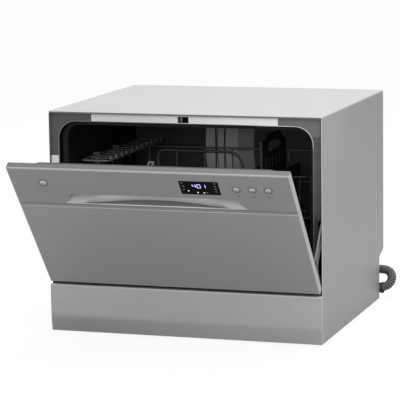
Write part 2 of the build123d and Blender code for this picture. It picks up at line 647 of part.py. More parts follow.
def hinge_brackets():
    """Steel ears on the base that carry the hinge pins."""
    with BuildPart() as ear:
        with BuildSketch(Plane.YZ.offset(BRACKET_IN)):
            with BuildLine():
                Polyline(
                    (HINGE_Y - 1, HINGE_Z - EYE_R), (HINGE_Y + 5, HINGE_Z - 5), (FRAME_FRONT, TUB_BASE),
                    (-192, TUB_BASE), (-192, TUB_BASE + 8), (-225, TUB_BASE + 20),
                    (FRAME_FRONT - 2, TUB_BASE + 10), (HINGE_Y - 3, HINGE_Z + EYE_R - 0.7),
                    (HINGE_Y - 1, HINGE_Z - EYE_R),
                )
            make_face()
            with Locations((HINGE_Y, HINGE_Z)):
                Circle(EYE_R)
                Circle(PIN_R, mode=Mode.SUBTRACT)
        extrude(amount=BRACKET_SHEET)
        add_box((BRACKET_IN - 5, BRACKET_IN), (-230, -194), (TUB_BASE, TUB_BASE + 1.5))
    save(both_sides(ear.part), "hinge_brackets")


def hinge_pins():
    """Headed pins through the brackets and the arms."""
    with BuildPart() as pin:
        cylinder_x(HINGE_Y, HINGE_Z, PIN_R, BRACKET_IN - 2, ARM_OUT)
        cylinder_x(HINGE_Y, HINGE_Z, PIN_R + 2, BRACKET_IN - 2, BRACKET_IN)
    save(both_sides(pin.part), "hinge_pins")


def hinge_brakes():
    """Friction pads that grip the arms' quadrants, so that the door stays where it is left."""
    tub_side = TUB_WIDTH / 2 + TUB_SHEET
    with BuildPart() as pad:
        add_box((tub_side, ARM_IN - 0.3), (-222, -196), (HINGE_Z + 82, HINGE_Z + 118))
        fillet(pad.edges().filter_by(Axis.X), 5)
    save(both_sides(pad.part), "hinge_brakes")


# ---- door ----------------------------------------------------------------------------------
def door_outer_panel():
    """Lower door skin: painted sheet with returned edges."""
    half = DOOR_WIDTH / 2
    with BuildPart() as skin:
        add_box((-half, half), (DOOR_FRONT, DOOR_BACK), (DOOR_BOTTOM, SEAM_HEIGHT - SEAM_GAP / 2))
        front = skin.faces().sort_by(Axis.Y)[0]
        fillet(front.edges(), 1.6)
        add_box((-half + SHEET, half - SHEET), (DOOR_FRONT + SHEET, DOOR_BACK + 1),
                (DOOR_BOTTOM + SHEET, SEAM_HEIGHT - SEAM_GAP / 2 - SHEET), Mode.SUBTRACT)
        for sign in (-1, 1):
            gap = sorted((sign * (BRACKET_IN - 4), sign * (half - SHEET)))
            add_box(gap, (DOOR_FRONT + SHEET + 0.8, DOOR_BACK + 1),
                    (DOOR_BOTTOM - 1, DOOR_BOTTOM + 2), Mode.SUBTRACT)
            lip = sorted((sign * (half - SHEET), sign * (LINER_WIDTH / 2 + LINER_FLANGE - SKIN_LIP)))
            add_box(lip, (DOOR_BACK - SHEET, DOOR_BACK), (HINGE_Z + 90, SEAM_HEIGHT - SEAM_GAP / 2 - SHEET))
        add_box((-LINER_WIDTH / 2, LINER_WIDTH / 2), (DOOR_BACK - SHEET, DOOR_BACK),
                (DOOR_BOTTOM + SHEET, DOOR_BOTTOM + LINER_CLEAR + SKIN_LIP))
    save(skin.part, "door_outer_panel", True)


def control_panel():
    """Moulded upper part of the door with the controls and the scooped handle."""
    half = DOOR_WIDTH / 2
    low, high = SEAM_HEIGHT + SEAM_GAP / 2, DOOR_TOP
    with BuildPart() as panel:
        add_box((-half, half), (DOOR_FRONT, DOOR_BACK), (low, high))
        fillet(panel.faces().sort_by(Axis.Y)[0].edges().filter_by(Axis.X).sort_by(Axis.Z)[-1], 3.0)
        fillet(panel.faces().sort_by(Axis.Y)[0].edges().filter_by(Axis.Z), 1.6)
        add_box((-half + DOOR_WALL, half - DOOR_WALL), (DOOR_FRONT + DOOR_WALL, DOOR_BACK + 1),
                (low + DOOR_WALL, high - DOOR_WALL), Mode.SUBTRACT)
        add(grip_form(DOOR_WALL))
        add(grip_form(0), mode=Mode.SUBTRACT)
        for x in (-0.88 * half, -0.6 * half, -0.2 * half, 0.12 * half, 0.6 * half, 0.92 * half):
            cylinder_y(x, high - LINER_CLEAR - BOSS_R - 1, BOSS_R, DOOR_FRONT + 1, DOOR_BACK)
        with BuildSketch(Plane.XZ.offset(-DOOR_FRONT + 1)):
            with Locations((WINDOW_X, WINDOW_Z)):
                RectangleRounded(WINDOW_WIDTH, WINDOW_HEIGHT, 1.5)
            for name, x in BUTTON_XS.items():
                with Locations((x, BUTTON_Z)):
                    Circle(ring_radius(name))
        extrude(amount=-DOOR_WALL - 2, mode=Mode.SUBTRACT)
    save(panel.part, "control_panel", True)


def grip_form(wall):
    """Space of the handle recess, grown by a wall: a slanted trapezoid with a bowed pocket behind the lip."""
    start = DOOR_FRONT + 0.5 if wall else DOOR_FRONT - 1
    low, high = GRIP_BOTTOM - wall, GRIP_TOP + wall
    bottom, top = GRIP_BOTTOM_WIDTH / 2 + 1.6 * wall, GRIP_TOP_WIDTH / 2 + 1.6 * wall
    reach = DOOR_FRONT + GRIP_DEPTH + wall
    with BuildPart(mode=Mode.PRIVATE) as form:
        with BuildSketch(Plane.XZ.offset(-start)):
            with BuildLine():
                Polyline((-bottom, low), (bottom, low), (top, high), (-top, high), (-bottom, low))
            make_face()
        extrude(amount=start - reach)
        with BuildSketch(Plane.YZ.offset(-bottom)):
            with BuildLine():
                Polyline(
                    (start, low), (DOOR_FRONT + 1.4 * wall, low), (reach, high), (start, high), (start, low),
                )
            make_face()
        extrude(amount=2 * bottom, mode=Mode.INTERSECT)
        with BuildSketch(Plane.XY.offset(GRIP_FLOOR - wall)) as foot:
            add(grip_lens(GRIP_POCKET_HALF + wall, GRIP_POCKET + wall, wall))
        with BuildSketch(Plane.XY.offset(high)) as head:
            add(grip_lens(GRIP_TOP_WIDTH / 2 + wall, GRIP_DEPTH + wall, wall))
        loft(sections=[foot.sketch, head.sketch])
    return form.part


def grip_lens(half, depth, wall):
    """Plan of the finger pocket at one height: straight behind the lip, bowed at the back."""
    front = DOOR_FRONT + (0.5 if wall else GRIP_LIP)
    with BuildLine(mode=Mode.PRIVATE) as outline:
        Line((-half, front), (half, front))
        ThreePointArc((half, front), (0, DOOR_FRONT + depth), (-half, front))
    return make_face(outline.edges(), mode=Mode.PRIVATE)


def ring_radius(name):
    """Outer radius of a button's ring."""
    return POWER_RING_R if name == "button_power" else BUTTON_RING_R


def cap_radius(name):
    """Radius of a button's cap."""
    return POWER_R if name == "button_power" else BUTTON_R


def display_window():
    """Dark window of the display, flanged behind the panel's wall."""
    back = DOOR_FRONT + DOOR_WALL
    with BuildPart() as window:
        with BuildSketch(Plane.XZ.offset(-back)):
            with Locations((WINDOW_X, WINDOW_Z)):
                RectangleRounded(WINDOW_WIDTH - 0.3, WINDOW_HEIGHT - 0.3, 1.4)
        extrude(amount=DOOR_WALL + 0.2)
        add_box((WINDOW_X - WINDOW_WIDTH / 2 - 3, WINDOW_X + WINDOW_WIDTH / 2 + 3), (back, back + 2),
                (WINDOW_Z - WINDOW_HEIGHT / 2 - 3, WINDOW_Z + WINDOW_HEIGHT / 2 + 3))
    save(window.part, "display_window", True)


def control_board():
    """Circuit boards behind the buttons, on pillars from the panel's wall."""
    wall = DOOR_FRONT + DOOR_WALL
    board_front = wall + 6.5
    start_x = BUTTON_XS["button_start"]
    with BuildPart() as board:
        add_box((WINDOW_X - WINDOW_WIDTH / 2, start_x + 18), (board_front, board_front + 1.6),
                (BUTTON_Z - 22, BUTTON_Z + 24))
        for x in (WINDOW_X + WINDOW_WIDTH / 2 + 8, start_x + 15):
            for z in (BUTTON_Z - 18, BUTTON_Z + 20):
                cylinder_y(x, z, 2.5, wall, board_front)
    with BuildPart() as power_board:
        add_box((POWER_X - 20, POWER_X + 20), (board_front, board_front + 1.6),
                (BUTTON_Z - 18, BUTTON_Z + 18))
        for x in (POWER_X - 16, POWER_X + 16):
            cylinder_y(x, BUTTON_Z - 14, 2.5, wall, board_front)
    save(Compound(children=[board.part, power_board.part]), "control_board", True)


def button_rings():
    """Bright rings round the four buttons."""
    rings = []
    for name, x in BUTTON_XS.items():
        with BuildPart() as ring:
            cylinder_y(x, BUTTON_Z, ring_radius(name), DOOR_FRONT - 0.6, DOOR_FRONT + DOOR_WALL + 1)
            fillet(ring.faces().sort_by(Axis.Y)[0].edges(), 0.5)
            hole = cap_radius(name) + BUTTON_GAP
            cylinder_y(x, BUTTON_Z, hole, DOOR_FRONT - 2, DOOR_FRONT + 6, Mode.SUBTRACT)
        rings.append(ring.part)
    save(Compound(children=rings), "button_rings", True)


def button(name):
    """Push button: a cap with a collar behind its ring."""
    x = BUTTON_XS[name]
    with BuildPart() as cap:
        cylinder_y(x, BUTTON_Z, cap_radius(name), DOOR_FRONT - BUTTON_PROUD, DOOR_FRONT + 5)
        fillet(cap.faces().sort_by(Axis.Y)[0].edges(), 0.7)
        cylinder_y(x, BUTTON_Z, cap_radius(name) + 1.4, DOOR_FRONT + DOOR_WALL + 1.3, DOOR_FRONT + 5)
    save(cap.part, name, True)


def door_inner_liner():
    """Pressed inner door: a flange and a raised pan that closes the tub."""
    half = LINER_WIDTH / 2
    with BuildPart() as hollow:
        with BuildSketch(Plane.XZ.offset(-LINER_BACK + SHEET)):
            add(arch(half - SHEET, LINER_BOTTOM + SHEET, LINER_TOP - SHEET, LINER_CORNER - SHEET))
        extrude(amount=LINER_DEPTH + 2)
        fillet(hollow.faces().sort_by(Axis.Y)[-1].edges(), PAN_ROUND - SHEET)
    with BuildPart() as liner:
        with BuildSketch(Plane.XZ.offset(-DOOR_BACK - SHEET)):
            add(arch(half + LINER_FLANGE, DOOR_BOTTOM + LINER_CLEAR, DOOR_TOP - LINER_CLEAR, LINER_CORNER))
        extrude(amount=SHEET)
        with BuildSketch(Plane.XZ.offset(-LINER_BACK)):
            add(arch(half, LINER_BOTTOM, LINER_TOP, LINER_CORNER))
        extrude(amount=LINER_DEPTH)
        fillet(liner.faces().sort_by(Axis.Y)[-1].edges(), PAN_ROUND)
        add(hollow.part, mode=Mode.SUBTRACT)
        width, height = DISPENSER_WIDTH / 2 + 1, DISPENSER_HEIGHT / 2 + 1
        add_box((DISPENSER_X - width, DISPENSER_X + width), (LINER_BACK - 3, LINER_BACK + 1),
                (DISPENSER_Z - height, DISPENSER_Z + height), Mode.SUBTRACT)
    save(liner.part, "door_inner_liner", True)


def dispenser_body():
    """Detergent dispenser set into the inner door: flange, cup and the rinse aid seat."""
    width, height = DISPENSER_WIDTH / 2, DISPENSER_HEIGHT / 2
    face = DISPENSER_FACE
    with BuildPart() as body:
        add_box((DISPENSER_X - width - 6, DISPENSER_X + width + 6), (LINER_BACK, face),
                (DISPENSER_Z - height - 6, DISPENSER_Z + height + 6))
        fillet(body.edges().filter_by(Axis.Y), 8)
        add_box((DISPENSER_X - width, DISPENSER_X + width), (LINER_BACK - 22, LINER_BACK),
                (DISPENSER_Z - height, DISPENSER_Z + height))
        add_box((CUP_X - CUP_WIDTH / 2, CUP_X + CUP_WIDTH / 2), (face - 20, face + 1),
                (DISPENSER_Z - CUP_HEIGHT / 2, DISPENSER_Z + CUP_HEIGHT / 2), Mode.SUBTRACT)
        cylinder_y(CAP_X, DISPENSER_Z, CAP_R - 3, face - 6, face + 1, Mode.SUBTRACT)
        for sign in (-1, 1):
            x = CUP_X + sign * (CUP_WIDTH / 2 - 6)
            add_box((x - 2, x + 2), (face, LID_Y + 2), (LID_Z - 2, LID_Z + 1))
            cylinder_x(LID_Y, LID_Z, 1.05, x - 3, x + 3, Mode.SUBTRACT)
    save(body.part, "dispenser_body", True)


def dispenser_lid():
    """Flap over the detergent cup, on a pin along its lower edge."""
    face = DISPENSER_FACE
    half = CUP_WIDTH / 2 + 4
    with BuildPart() as lid:
        add_box((CUP_X - half, CUP_X + half), (face + 0.3, face + 2.3),
                (LID_Z + 3.2, DISPENSER_Z + CUP_HEIGHT / 2 + 4))
        fillet(lid.edges().filter_by(Axis.Y).group_by(Axis.Z)[-1], 6)
        for sign in (-1, 1):
            x = CUP_X + sign * (CUP_WIDTH / 2 - 14)
            add_box((x - 3, x + 3), (face + 0.3, face + 2.3), (LID_Z, LID_Z + 4))
        cylinder_x(LID_Y, LID_Z, 1.0, CUP_X - CUP_WIDTH / 2 + 3, CUP_X + CUP_WIDTH / 2 - 3)
        for sign in (-1, 1):
            x = CUP_X + sign * (CUP_WIDTH / 2 - 14)
            cylinder_x(LID_Y, LID_Z, 1.9, x - 3, x + 3)
    save(lid.part, "dispenser_lid", True)


def rinse_aid_cap():
    """Bayonet cap of the rinse aid tank, with a bar to turn it by."""
    face = DISPENSER_FACE
    with BuildPart() as cap:
        cylinder_y(CAP_X, DISPENSER_Z, CAP_R, face + 0.2, face + 4)
        cylinder_y(CAP_X, DISPENSER_Z, CAP_R - 3.3, face - 5, face + 0.2)
        add_box((CAP_X - CAP_R + 3, CAP_X + CAP_R - 3), (face + 4, face + 8),
                (DISPENSER_Z - 2, DISPENSER_Z + 2))
    save(cap.part, "rinse_aid_cap", True)


def door_strike():
    """Steel eye at the top of the door that the latch catches."""
    with BuildPart() as strike:
        add_box((-16, 20), (DOOR_BACK + SHEET, DOOR_BACK + SHEET + 1.5),
                (LATCH_BOTTOM - 6, LATCH_BOTTOM + 12))
        add_box((-3, 8), (DOOR_BACK + SHEET, FRAME_BACK + 13), (LATCH_BOTTOM + 2, LATCH_BOTTOM + 8))
        add_box((0, 5), (FRAME_BACK + 1, FRAME_BACK + 9), (LATCH_BOTTOM, LATCH_BOTTOM + 10), Mode.SUBTRACT)
    save(strike.part, "door_strike", True)


# ---- wash system ---------------------------------------------------------------------------
def sump():
    """Cup under the tub's floor, with the stub that leads to the drain pump."""
    with BuildPart() as cup:
        with BuildSketch(Plane.XZ):
            with BuildLine():
                Polyline(
                    (0, 56), (42, 56), (SUMP_R - 2, 84), (SUMP_R - 2, TUB_BASE - 1.5),
                    (SUMP_R + 10, TUB_BASE - 1.5),
                    (SUMP_R + 10, TUB_BASE), (SUMP_R - 4.5, TUB_BASE), (SUMP_R - 4.5, 85), (40.5, 58.5),
                    (0, 58.5), (0, 56),
                )
            make_face()
        revolve(axis=Axis.Z)
    placed = cup.part.moved(Location((SUMP_X, SUMP_Y, 0)))
    with BuildPart() as whole:
        add(placed)
        cylinder_x(SUMP_Y, STUB_Z, STUB_R, STUB_X, STUB_X + 18)
        cylinder_x(SUMP_Y, STUB_Z, STUB_R - 2, STUB_X - 1, STUB_X + 17, Mode.SUBTRACT)
        cylinder_y(SUMP_X, DRAIN_Z, 10, SUMP_Y + 48, SUMP_Y + 78)
        cylinder_y(SUMP_X, DRAIN_Z, 8, SUMP_Y + 50, SUMP_Y + 79, Mode.SUBTRACT)
    save(whole.part, "sump")


def flat_filter():
    """Stainless mesh disc that lies on the floor round the filter cylinder."""
    with BuildPart() as disc:
        cylinder_z(SUMP_X, SUMP_Y, SUMP_R + 14, TUB_FLOOR_TOP, TUB_FLOOR_TOP + 1)
        cylinder_z(SUMP_X, SUMP_Y, FILTER_R + 1, TUB_FLOOR_TOP - 1, TUB_FLOOR_TOP + 2, Mode.SUBTRACT)
        with BuildSketch(Plane.XY.offset(TUB_FLOOR_TOP)):
            with Locations((SUMP_X, SUMP_Y)):
                with PolarLocations(FILTER_R + 16, 18):
                    SlotOverall(16, 4)
        extrude(amount=1, mode=Mode.SUBTRACT)
    save(disc.part, "flat_filter")


def filter_cylinder():
    """Fine filter with a collar and a handle; a quarter turn frees it."""
    top = TUB_FLOOR_TOP + 1
    with BuildPart() as insert:
        cylinder_z(SUMP_X, SUMP_Y, FILTER_R, 64, top + 0.2)
        cylinder_z(SUMP_X, SUMP_Y, FILTER_R + 5, top + 0.2, top + 4)
        cylinder_z(SUMP_X, SUMP_Y, FILTER_R - 3, 63, top + 5, Mode.SUBTRACT)
        add_box((SUMP_X - FILTER_R, SUMP_X + FILTER_R), (SUMP_Y - 3, SUMP_Y + 3), (top + 2, top + 18))
        for low, high in ((-FILTER_R - 1, 8 - FILTER_R), (FILTER_R - 8, FILTER_R + 1)):
            add_box((SUMP_X + low, SUMP_X + high), (SUMP_Y - 4, SUMP_Y + 4), (top + 10, top + 20),
                    Mode.SUBTRACT)
    save(insert.part, "filter_cylinder")


def salt_container():
    """Water softener salt tank under the floor, with its neck through the floor."""
    neck_top = TUB_FLOOR_TOP + 2
    with BuildPart() as tank:
        cylinder_z(SALT_X, SALT_Y, SALT_R + 14, FOOT_HEIGHT + BASE_WALL, TUB_BASE - 8)
        cylinder_z(SALT_X, SALT_Y, SALT_R, TUB_BASE - 8, neck_top)
        cylinder_z(SALT_X, SALT_Y, SALT_R - 4, FOOT_HEIGHT + 2 * BASE_WALL, neck_top + 1, Mode.SUBTRACT)
    save(tank.part, "salt_container")


def salt_cap():
    """Screw cap of the salt tank with a finger bar."""
    low = TUB_FLOOR_TOP + 2.2
    with BuildPart() as cap:
        cylinder_z(SALT_X, SALT_Y, SALT_R + 2, low, low + 7)
        cylinder_z(SALT_X, SALT_Y, SALT_R - 4.3, low - 6, low)
        fillet(cap.faces().sort_by(Axis.Z)[-1].edges(), 2)
        add_box((SALT_X - 22, SALT_X + 22), (SALT_Y - 3, SALT_Y + 3), (low + 7, low + 15))
    save(cap.part, "salt_cap")


def float_cap():
    """Dome of the overflow float, on a stem through the floor."""
    low = TUB_FLOOR_TOP + 0.3
    with BuildPart() as dome:
        cylinder_z(FLOAT_X, FLOAT_Y, FLOAT_R, low, low + 16)
        fillet(dome.faces().sort_by(Axis.Z)[-1].edges(), 6)
        cylinder_z(FLOAT_X, FLOAT_Y, FLOAT_R - 5.5, TUB_BASE - 20, low)
    save(dome.part, "float_cap")


def spray_hub():
    """Fixed post that feeds the spray arm, with the nut that keeps the arm on."""
    with BuildPart() as hub:
        cylinder_z(0, HUB_Y, HUB_POST_R, TUB_BASE - 4, ARM_LOW - 0.3)
        cylinder_z(0, HUB_Y, HUB_POST_R + 9, TUB_FLOOR_TOP, TUB_FLOOR_TOP + 3)
        cylinder_z(0, HUB_Y, HUB_R, ARM_LOW - 0.3, ARM_LOW + ARM_HEIGHT + 0.3)
        cylinder_z(0, HUB_Y, HUB_R + 5, ARM_LOW + ARM_HEIGHT + 0.3, ARM_LOW + ARM_HEIGHT + 5)
        cylinder_z(0, HUB_Y, HUB_R - 3, TUB_BASE - 5, ARM_LOW + ARM_HEIGHT, Mode.SUBTRACT)
    save(hub.part, "spray_hub")


def spray_arm():
    """Rotating arm: two tapered blades and a boss, with rows of jets."""
    half = ARM_LENGTH / 2
    with BuildPart() as arm:
        with BuildSketch(Plane.XY.offset(ARM_LOW)):
            with Locations((0, HUB_Y)):
                Circle(24)
            with BuildLine():
                Polyline(
                    (-half + 10, HUB_Y - 9), (0, HUB_Y - 19), (half - 10, HUB_Y - 15), (half, HUB_Y - 6),
                    (half - 10, HUB_Y + 9), (0, HUB_Y + 19), (-half + 10, HUB_Y + 15), (-half, HUB_Y + 6),
                    (-half + 10, HUB_Y - 9),
                )
            make_face()
        extrude(amount=ARM_HEIGHT)
        fillet(arm.faces().sort_by(Axis.Z)[-1].edges(), 3)
        cylinder_z(0, HUB_Y, HUB_R + ARM_CLEARANCE, ARM_LOW - 1, ARM_LOW + ARM_HEIGHT + 1, Mode.SUBTRACT)
        with BuildSketch(Plane.XY.offset(ARM_LOW + ARM_HEIGHT)):
            with Locations(*[(sign * x, HUB_Y) for sign in (-1, 1) for x in (60, 95, 130, 165)]):
                SlotOverall(7, 2.4)
        extrude(amount=-3, mode=Mode.SUBTRACT)
    with BuildPart() as turned:
        add(arm.part.rotate(Axis((0, HUB_Y, 0), (0, 0, 1)), 28))
    save(turned.part, "spray_arm")


def wash_pump():
    """Circulation pump lying along X in its cradle, with its heater and the pipe to the hub."""
    with BuildPart() as pump:
        cylinder_x(PUMP_Y, PUMP_Z, PUMP_VOLUTE_R, -8, 16)
        cylinder_x(PUMP_Y, PUMP_Z, PUMP_MOTOR_R, -84, -8)
        cylinder_x(PUMP_Y, PUMP_Z, 12, -92, -84)
        cylinder_x(PUMP_Y, STUB_Z, STUB_R, 16, STUB_X)
        cylinder_x(PUMP_Y, STUB_Z, STUB_R - 2, 20, STUB_X + 1, Mode.SUBTRACT)
        with BuildLine() as path:
            FilletPolyline(
                (0, PUMP_Y + 36, PUMP_Z), (0, HUB_Y, PUMP_Z), (0, HUB_Y, TUB_BASE - 4), radius=16,
            )
        with BuildSketch(Plane(origin=path.line @ 0, z_dir=path.line % 0)):
            Circle(12)
        sweep()
        cylinder_y(0, PUMP_Z, 17, PUMP_Y + 46, PUMP_Y + 64)
    save(pump.part, "wash_pump")


def drain_pump():
    """Small drain pump on the sump's stub."""
    y0 = SUMP_Y + 78
    with BuildPart() as pump:
        cylinder_y(SUMP_X, DRAIN_Z, 20, y0, y0 + 18)
        cylinder_y(SUMP_X, DRAIN_Z, 16, y0 + 18, y0 + 52)
        add_box((SUMP_X + 10, SUMP_X + 34), (y0 + 4, y0 + 14), (DRAIN_Z - 14, DRAIN_Z - 2))
    save(pump.part, "drain_pump")


def drain_elbow():
    """Outlet pipe through the base's rear wall, turned to the right for the hose."""
    with BuildPart() as elbow:
        with BuildLine() as path:
            FilletPolyline(
                (OUTLET_X, BASE_REAR - 14, OUTLET_Z), (OUTLET_X, OUTLET_Y, OUTLET_Z),
                (CUFF_START + 12, OUTLET_Y, OUTLET_Z), radius=10,
            )
        with BuildSketch(Plane(origin=path.line @ 0, z_dir=path.line % 0)):
            Circle(8)
            Circle(6, mode=Mode.SUBTRACT)
        sweep()
    save(elbow.part, "drain_elbow")


def drain_cuff():
    """Rubber cuff of the hose, pushed over the outlet pipe; its mouth flares to a rim."""
    with BuildPart() as cuff:
        cylinder_x(OUTLET_Y, OUTLET_Z, CUFF_R, CUFF_START, CUFF_END - 8)
        with BuildSketch(Plane.YZ.offset(CUFF_END - 8)):
            with Locations((OUTLET_Y, OUTLET_Z)):
                Circle(CUFF_R)
        with BuildSketch(Plane.YZ.offset(CUFF_END - 4)):
            with Locations((OUTLET_Y, OUTLET_Z)):
                Circle(CUFF_RIM_R)
        loft()
        cylinder_x(OUTLET_Y, OUTLET_Z, CUFF_RIM_R, CUFF_END - 4, CUFF_END)
        cylinder_x(OUTLET_Y, OUTLET_Z, 8, CUFF_START - 1, CUFF_START + 12, Mode.SUBTRACT)
        cylinder_x(OUTLET_Y, OUTLET_Z, 7, CUFF_START + 11, CUFF_END - 8, Mode.SUBTRACT)
        cylinder_x(OUTLET_Y, OUTLET_Z, CUFF_RIM_R - 1.4, CUFF_END - 8, CUFF_END + 1, Mode.SUBTRACT)
    save(cuff.part, "drain_cuff")


def inlet_valve():
    """Water inlet valve with its three-quarter inch thread out through the rear wall."""
    x, z, _ = REAR_HOLES["inlet"]
    with BuildPart() as valve:
        add_box((x - 20, x + 20), (BASE_REAR - 60, BASE_REAR - 8), (FOOT_HEIGHT + BASE_WALL, z + 20))
        cylinder_y(x, z, 12, BASE_REAR - 8, BASE_REAR)
        cylinder_y(x, z, 17, BASE_REAR, BASE_REAR + 3)
        cylinder_y(x, z, INLET_R, BASE_REAR + 3, BASE_REAR + 3 + INLET_LENGTH)
        cylinder_y(x, z, 8, BASE_REAR - 6, BASE_REAR + 4 + INLET_LENGTH, Mode.SUBTRACT)
        cylinder_x(BASE_REAR - 34, z + 30, 11, x - 14, x + 14)
        add_box((x - 8, x + 8), (BASE_REAR - 42, BASE_REAR - 26), (z + 18, z + 22))
    save(valve.part, "inlet_valve")


def cable_gland():
    """Bush in the rear wall where the mains lead would leave."""
    x, z, r = REAR_HOLES["gland"]
    with BuildPart() as gland:
        cylinder_y(x, z, r, BASE_REAR - BASE_WALL, BASE_REAR)
        cylinder_y(x, z, r + 3.5, BASE_REAR, BASE_REAR + 4)
        fillet(gland.faces().sort_by(Axis.Y)[-1].edges(), 1.5)
        cylinder_y(x, z, 4, BASE_REAR - BASE_WALL - 1, BASE_REAR + 5, Mode.SUBTRACT)
    save(gland.part, "cable_gland")


# ---- rack ----------------------------------------------------------------------------------
def bars_between(plane, starts, length, r, direction):
    """Round bars in the part being built: one at each start, along X or Y of the plane."""
    along = plane.x_dir if direction == "x" else plane.y_dir
    for u, v in starts:
        start = plane.from_local_coords(Vector(u, v, 0))
        add(Solid.make_cylinder(r, length, Plane(origin=start, z_dir=along)))


def spread(low, high, count):
    """Evenly spaced places from low to high, both included."""
    return [low + (high - low) * i / (count - 1) for i in range(count)]


def rim_loop(plane, width, height, r):
    """A rectangular ring of wire with rounded corners, centred on the plane's origin."""
    outline = RectangleRounded(width, height, 10, mode=Mode.PRIVATE)
    wire = (plane * outline).wires()[0]
    section = Plane(origin=wire @ 0, z_dir=wire % 0) * Circle(r, mode=Mode.PRIVATE)
    return sweep(sections=section, path=wire, mode=Mode.PRIVATE)


def rack_floor():
    """Floor of the rack: a ring of thick wire and a grid of thinner ones."""
    half = RACK_WIDTH / 2
    middle = (RACK_FRONT + RACK_BACK) / 2
    length = RACK_BACK - RACK_FRONT
    r = WIRE / 2
    rim = rim_loop(Plane(origin=(0, middle, RACK_FLOOR), z_dir=(0, 0, 1)), RACK_WIDTH, length, RIM_WIRE / 2)
    with BuildPart() as grid:
        add(rim)
        across = Plane(origin=(0, 0, RACK_FLOOR), z_dir=(0, 0, 1))
        starts = [(-half, y) for y in spread(RACK_FRONT + 32, RACK_BACK - 32, 9)]
        bars_between(across, starts, RACK_WIDTH, r, "x")
        upper = Plane(origin=(0, 0, RACK_FLOOR + 0.85 * WIRE), z_dir=(0, 0, 1))
        starts = [(x, RACK_FRONT) for x in spread(-half + 42, half - 42, 9)]
        bars_between(upper, starts, length, r, "y")
    save(grid.part, "rack_floor")


def rack_wall(plane, length, verticals):
    """One wall of the rack in its own plane: a rim wire, a middle wire and uprights."""
    low = RACK_FLOOR + RIM_WIRE / 2 + 0.1
    with BuildPart() as wall:
        bars_between(plane, [(-length / 2, RACK_RIM)], length, RIM_WIRE / 2, "x")
        bars_between(plane, [(-length / 2, RACK_MIDDLE)], length, WIRE / 2, "x")
        shifted = plane.offset(-0.8 * WIRE)
        starts = [(u, low) for u in spread(-length / 2 + 14, length / 2 - 14, verticals)]
        bars_between(shifted, starts, RACK_RIM - low, WIRE / 2, "y")
    return wall.part


def rack_walls():
    """Four wire walls; the front one rises to the handle."""
    half = RACK_WIDTH / 2
    middle = (RACK_FRONT + RACK_BACK) / 2
    side_length = RACK_BACK - RACK_FRONT - 12
    front_length = RACK_WIDTH - 12
    right = rack_wall(Plane(origin=(half, middle, 0), x_dir=(0, 1, 0), z_dir=(1, 0, 0)), side_length, 7)
    left = rack_wall(Plane(origin=(-half, middle, 0), x_dir=(0, -1, 0), z_dir=(-1, 0, 0)), side_length, 7)
    back = rack_wall(Plane(origin=(0, RACK_BACK, 0), x_dir=(-1, 0, 0), z_dir=(0, 1, 0)), front_length, 8)
    front_plane = Plane(origin=(0, RACK_FRONT, 0), x_dir=(1, 0, 0), z_dir=(0, -1, 0))
    front_wall = rack_wall(front_plane, front_length, 8)
    with BuildPart() as front:
        add(front_wall)
        w = HANDLE_WIDTH / 2
        with BuildLine() as path:
            FilletPolyline(
                (HANDLE_X - w, RACK_FRONT, RACK_RIM), (HANDLE_X - w, RACK_FRONT, HANDLE_HEIGHT),
                (HANDLE_X + w, RACK_FRONT, HANDLE_HEIGHT), (HANDLE_X + w, RACK_FRONT, RACK_RIM),
                radius=HANDLE_BENDS,
            )
        with BuildSketch(Plane(origin=path.line @ 0, z_dir=path.line % 0)):
            Circle(HANDLE_WIRE / 2)
        sweep()
    save(Compound(children=[left, right, back, front.part]), "rack_walls")


def rack_tines():
    """Two combs of plate tines standing on the floor wires."""
    combs = []
    foot = RACK_FLOOR + 1.35 * WIRE + 0.1
    for y, height in TINE_ROWS:
        with BuildPart() as comb:
            plane = Plane(origin=(0, y, 0), x_dir=(1, 0, 0), z_dir=(0, -1, 0))
            bars_between(plane, [(TINE_LEFT - 10, foot + WIRE / 2)], TINE_LENGTH + 20, WIRE / 2, "x")
            shifted = plane.offset(-0.8 * WIRE)
            feet_of_tines = [(x, foot) for x in spread(TINE_LEFT, TINE_LEFT + TINE_LENGTH, 9)]
            bars_between(shifted, feet_of_tines, height, WIRE / 2, "y")
        combs.append(comb.part)
    save(Compound(children=combs), "rack_tines")


def rack_glides():
    """Nylon fittings of the rack: four shoes that run on the rails and two clips for the cup shelf."""
    half = RACK_WIDTH / 2
    shoes = []
    for y in (RACK_FRONT + 40, RACK_BACK - 40):
        with BuildPart() as shoe:
            add_box((half + RIM_WIRE / 2, half + 13), (y - GLIDE_R, y + GLIDE_R),
                    (RAIL_TOP + 0.3, RACK_FLOOR + 3))
            fillet(shoe.edges().filter_by(Axis.X), 5)
        shoes += [shoe.part, shoe.part.mirror(Plane.YZ)]
    hinge_x = SHELF_OFFSET - half
    for y in CLIP_YS:
        with BuildPart() as clip:
            add_box((-half - 4.5, hinge_x + 4), (y - 4, y + 4), (RACK_RIM - 4.5, SHELF_Z + 4))
            fillet(clip.edges().filter_by(Axis.Y), 2)
            cylinder_y(-half, RACK_RIM, RIM_WIRE / 2, y - 5, y + 5, Mode.SUBTRACT)
            cylinder_y(hinge_x, SHELF_Z, WIRE / 2 + PIN_CLEARANCE, y - 5, y + 5, Mode.SUBTRACT)
        shoes.append(clip.part)
    save(Compound(children=shoes), "rack_glides")


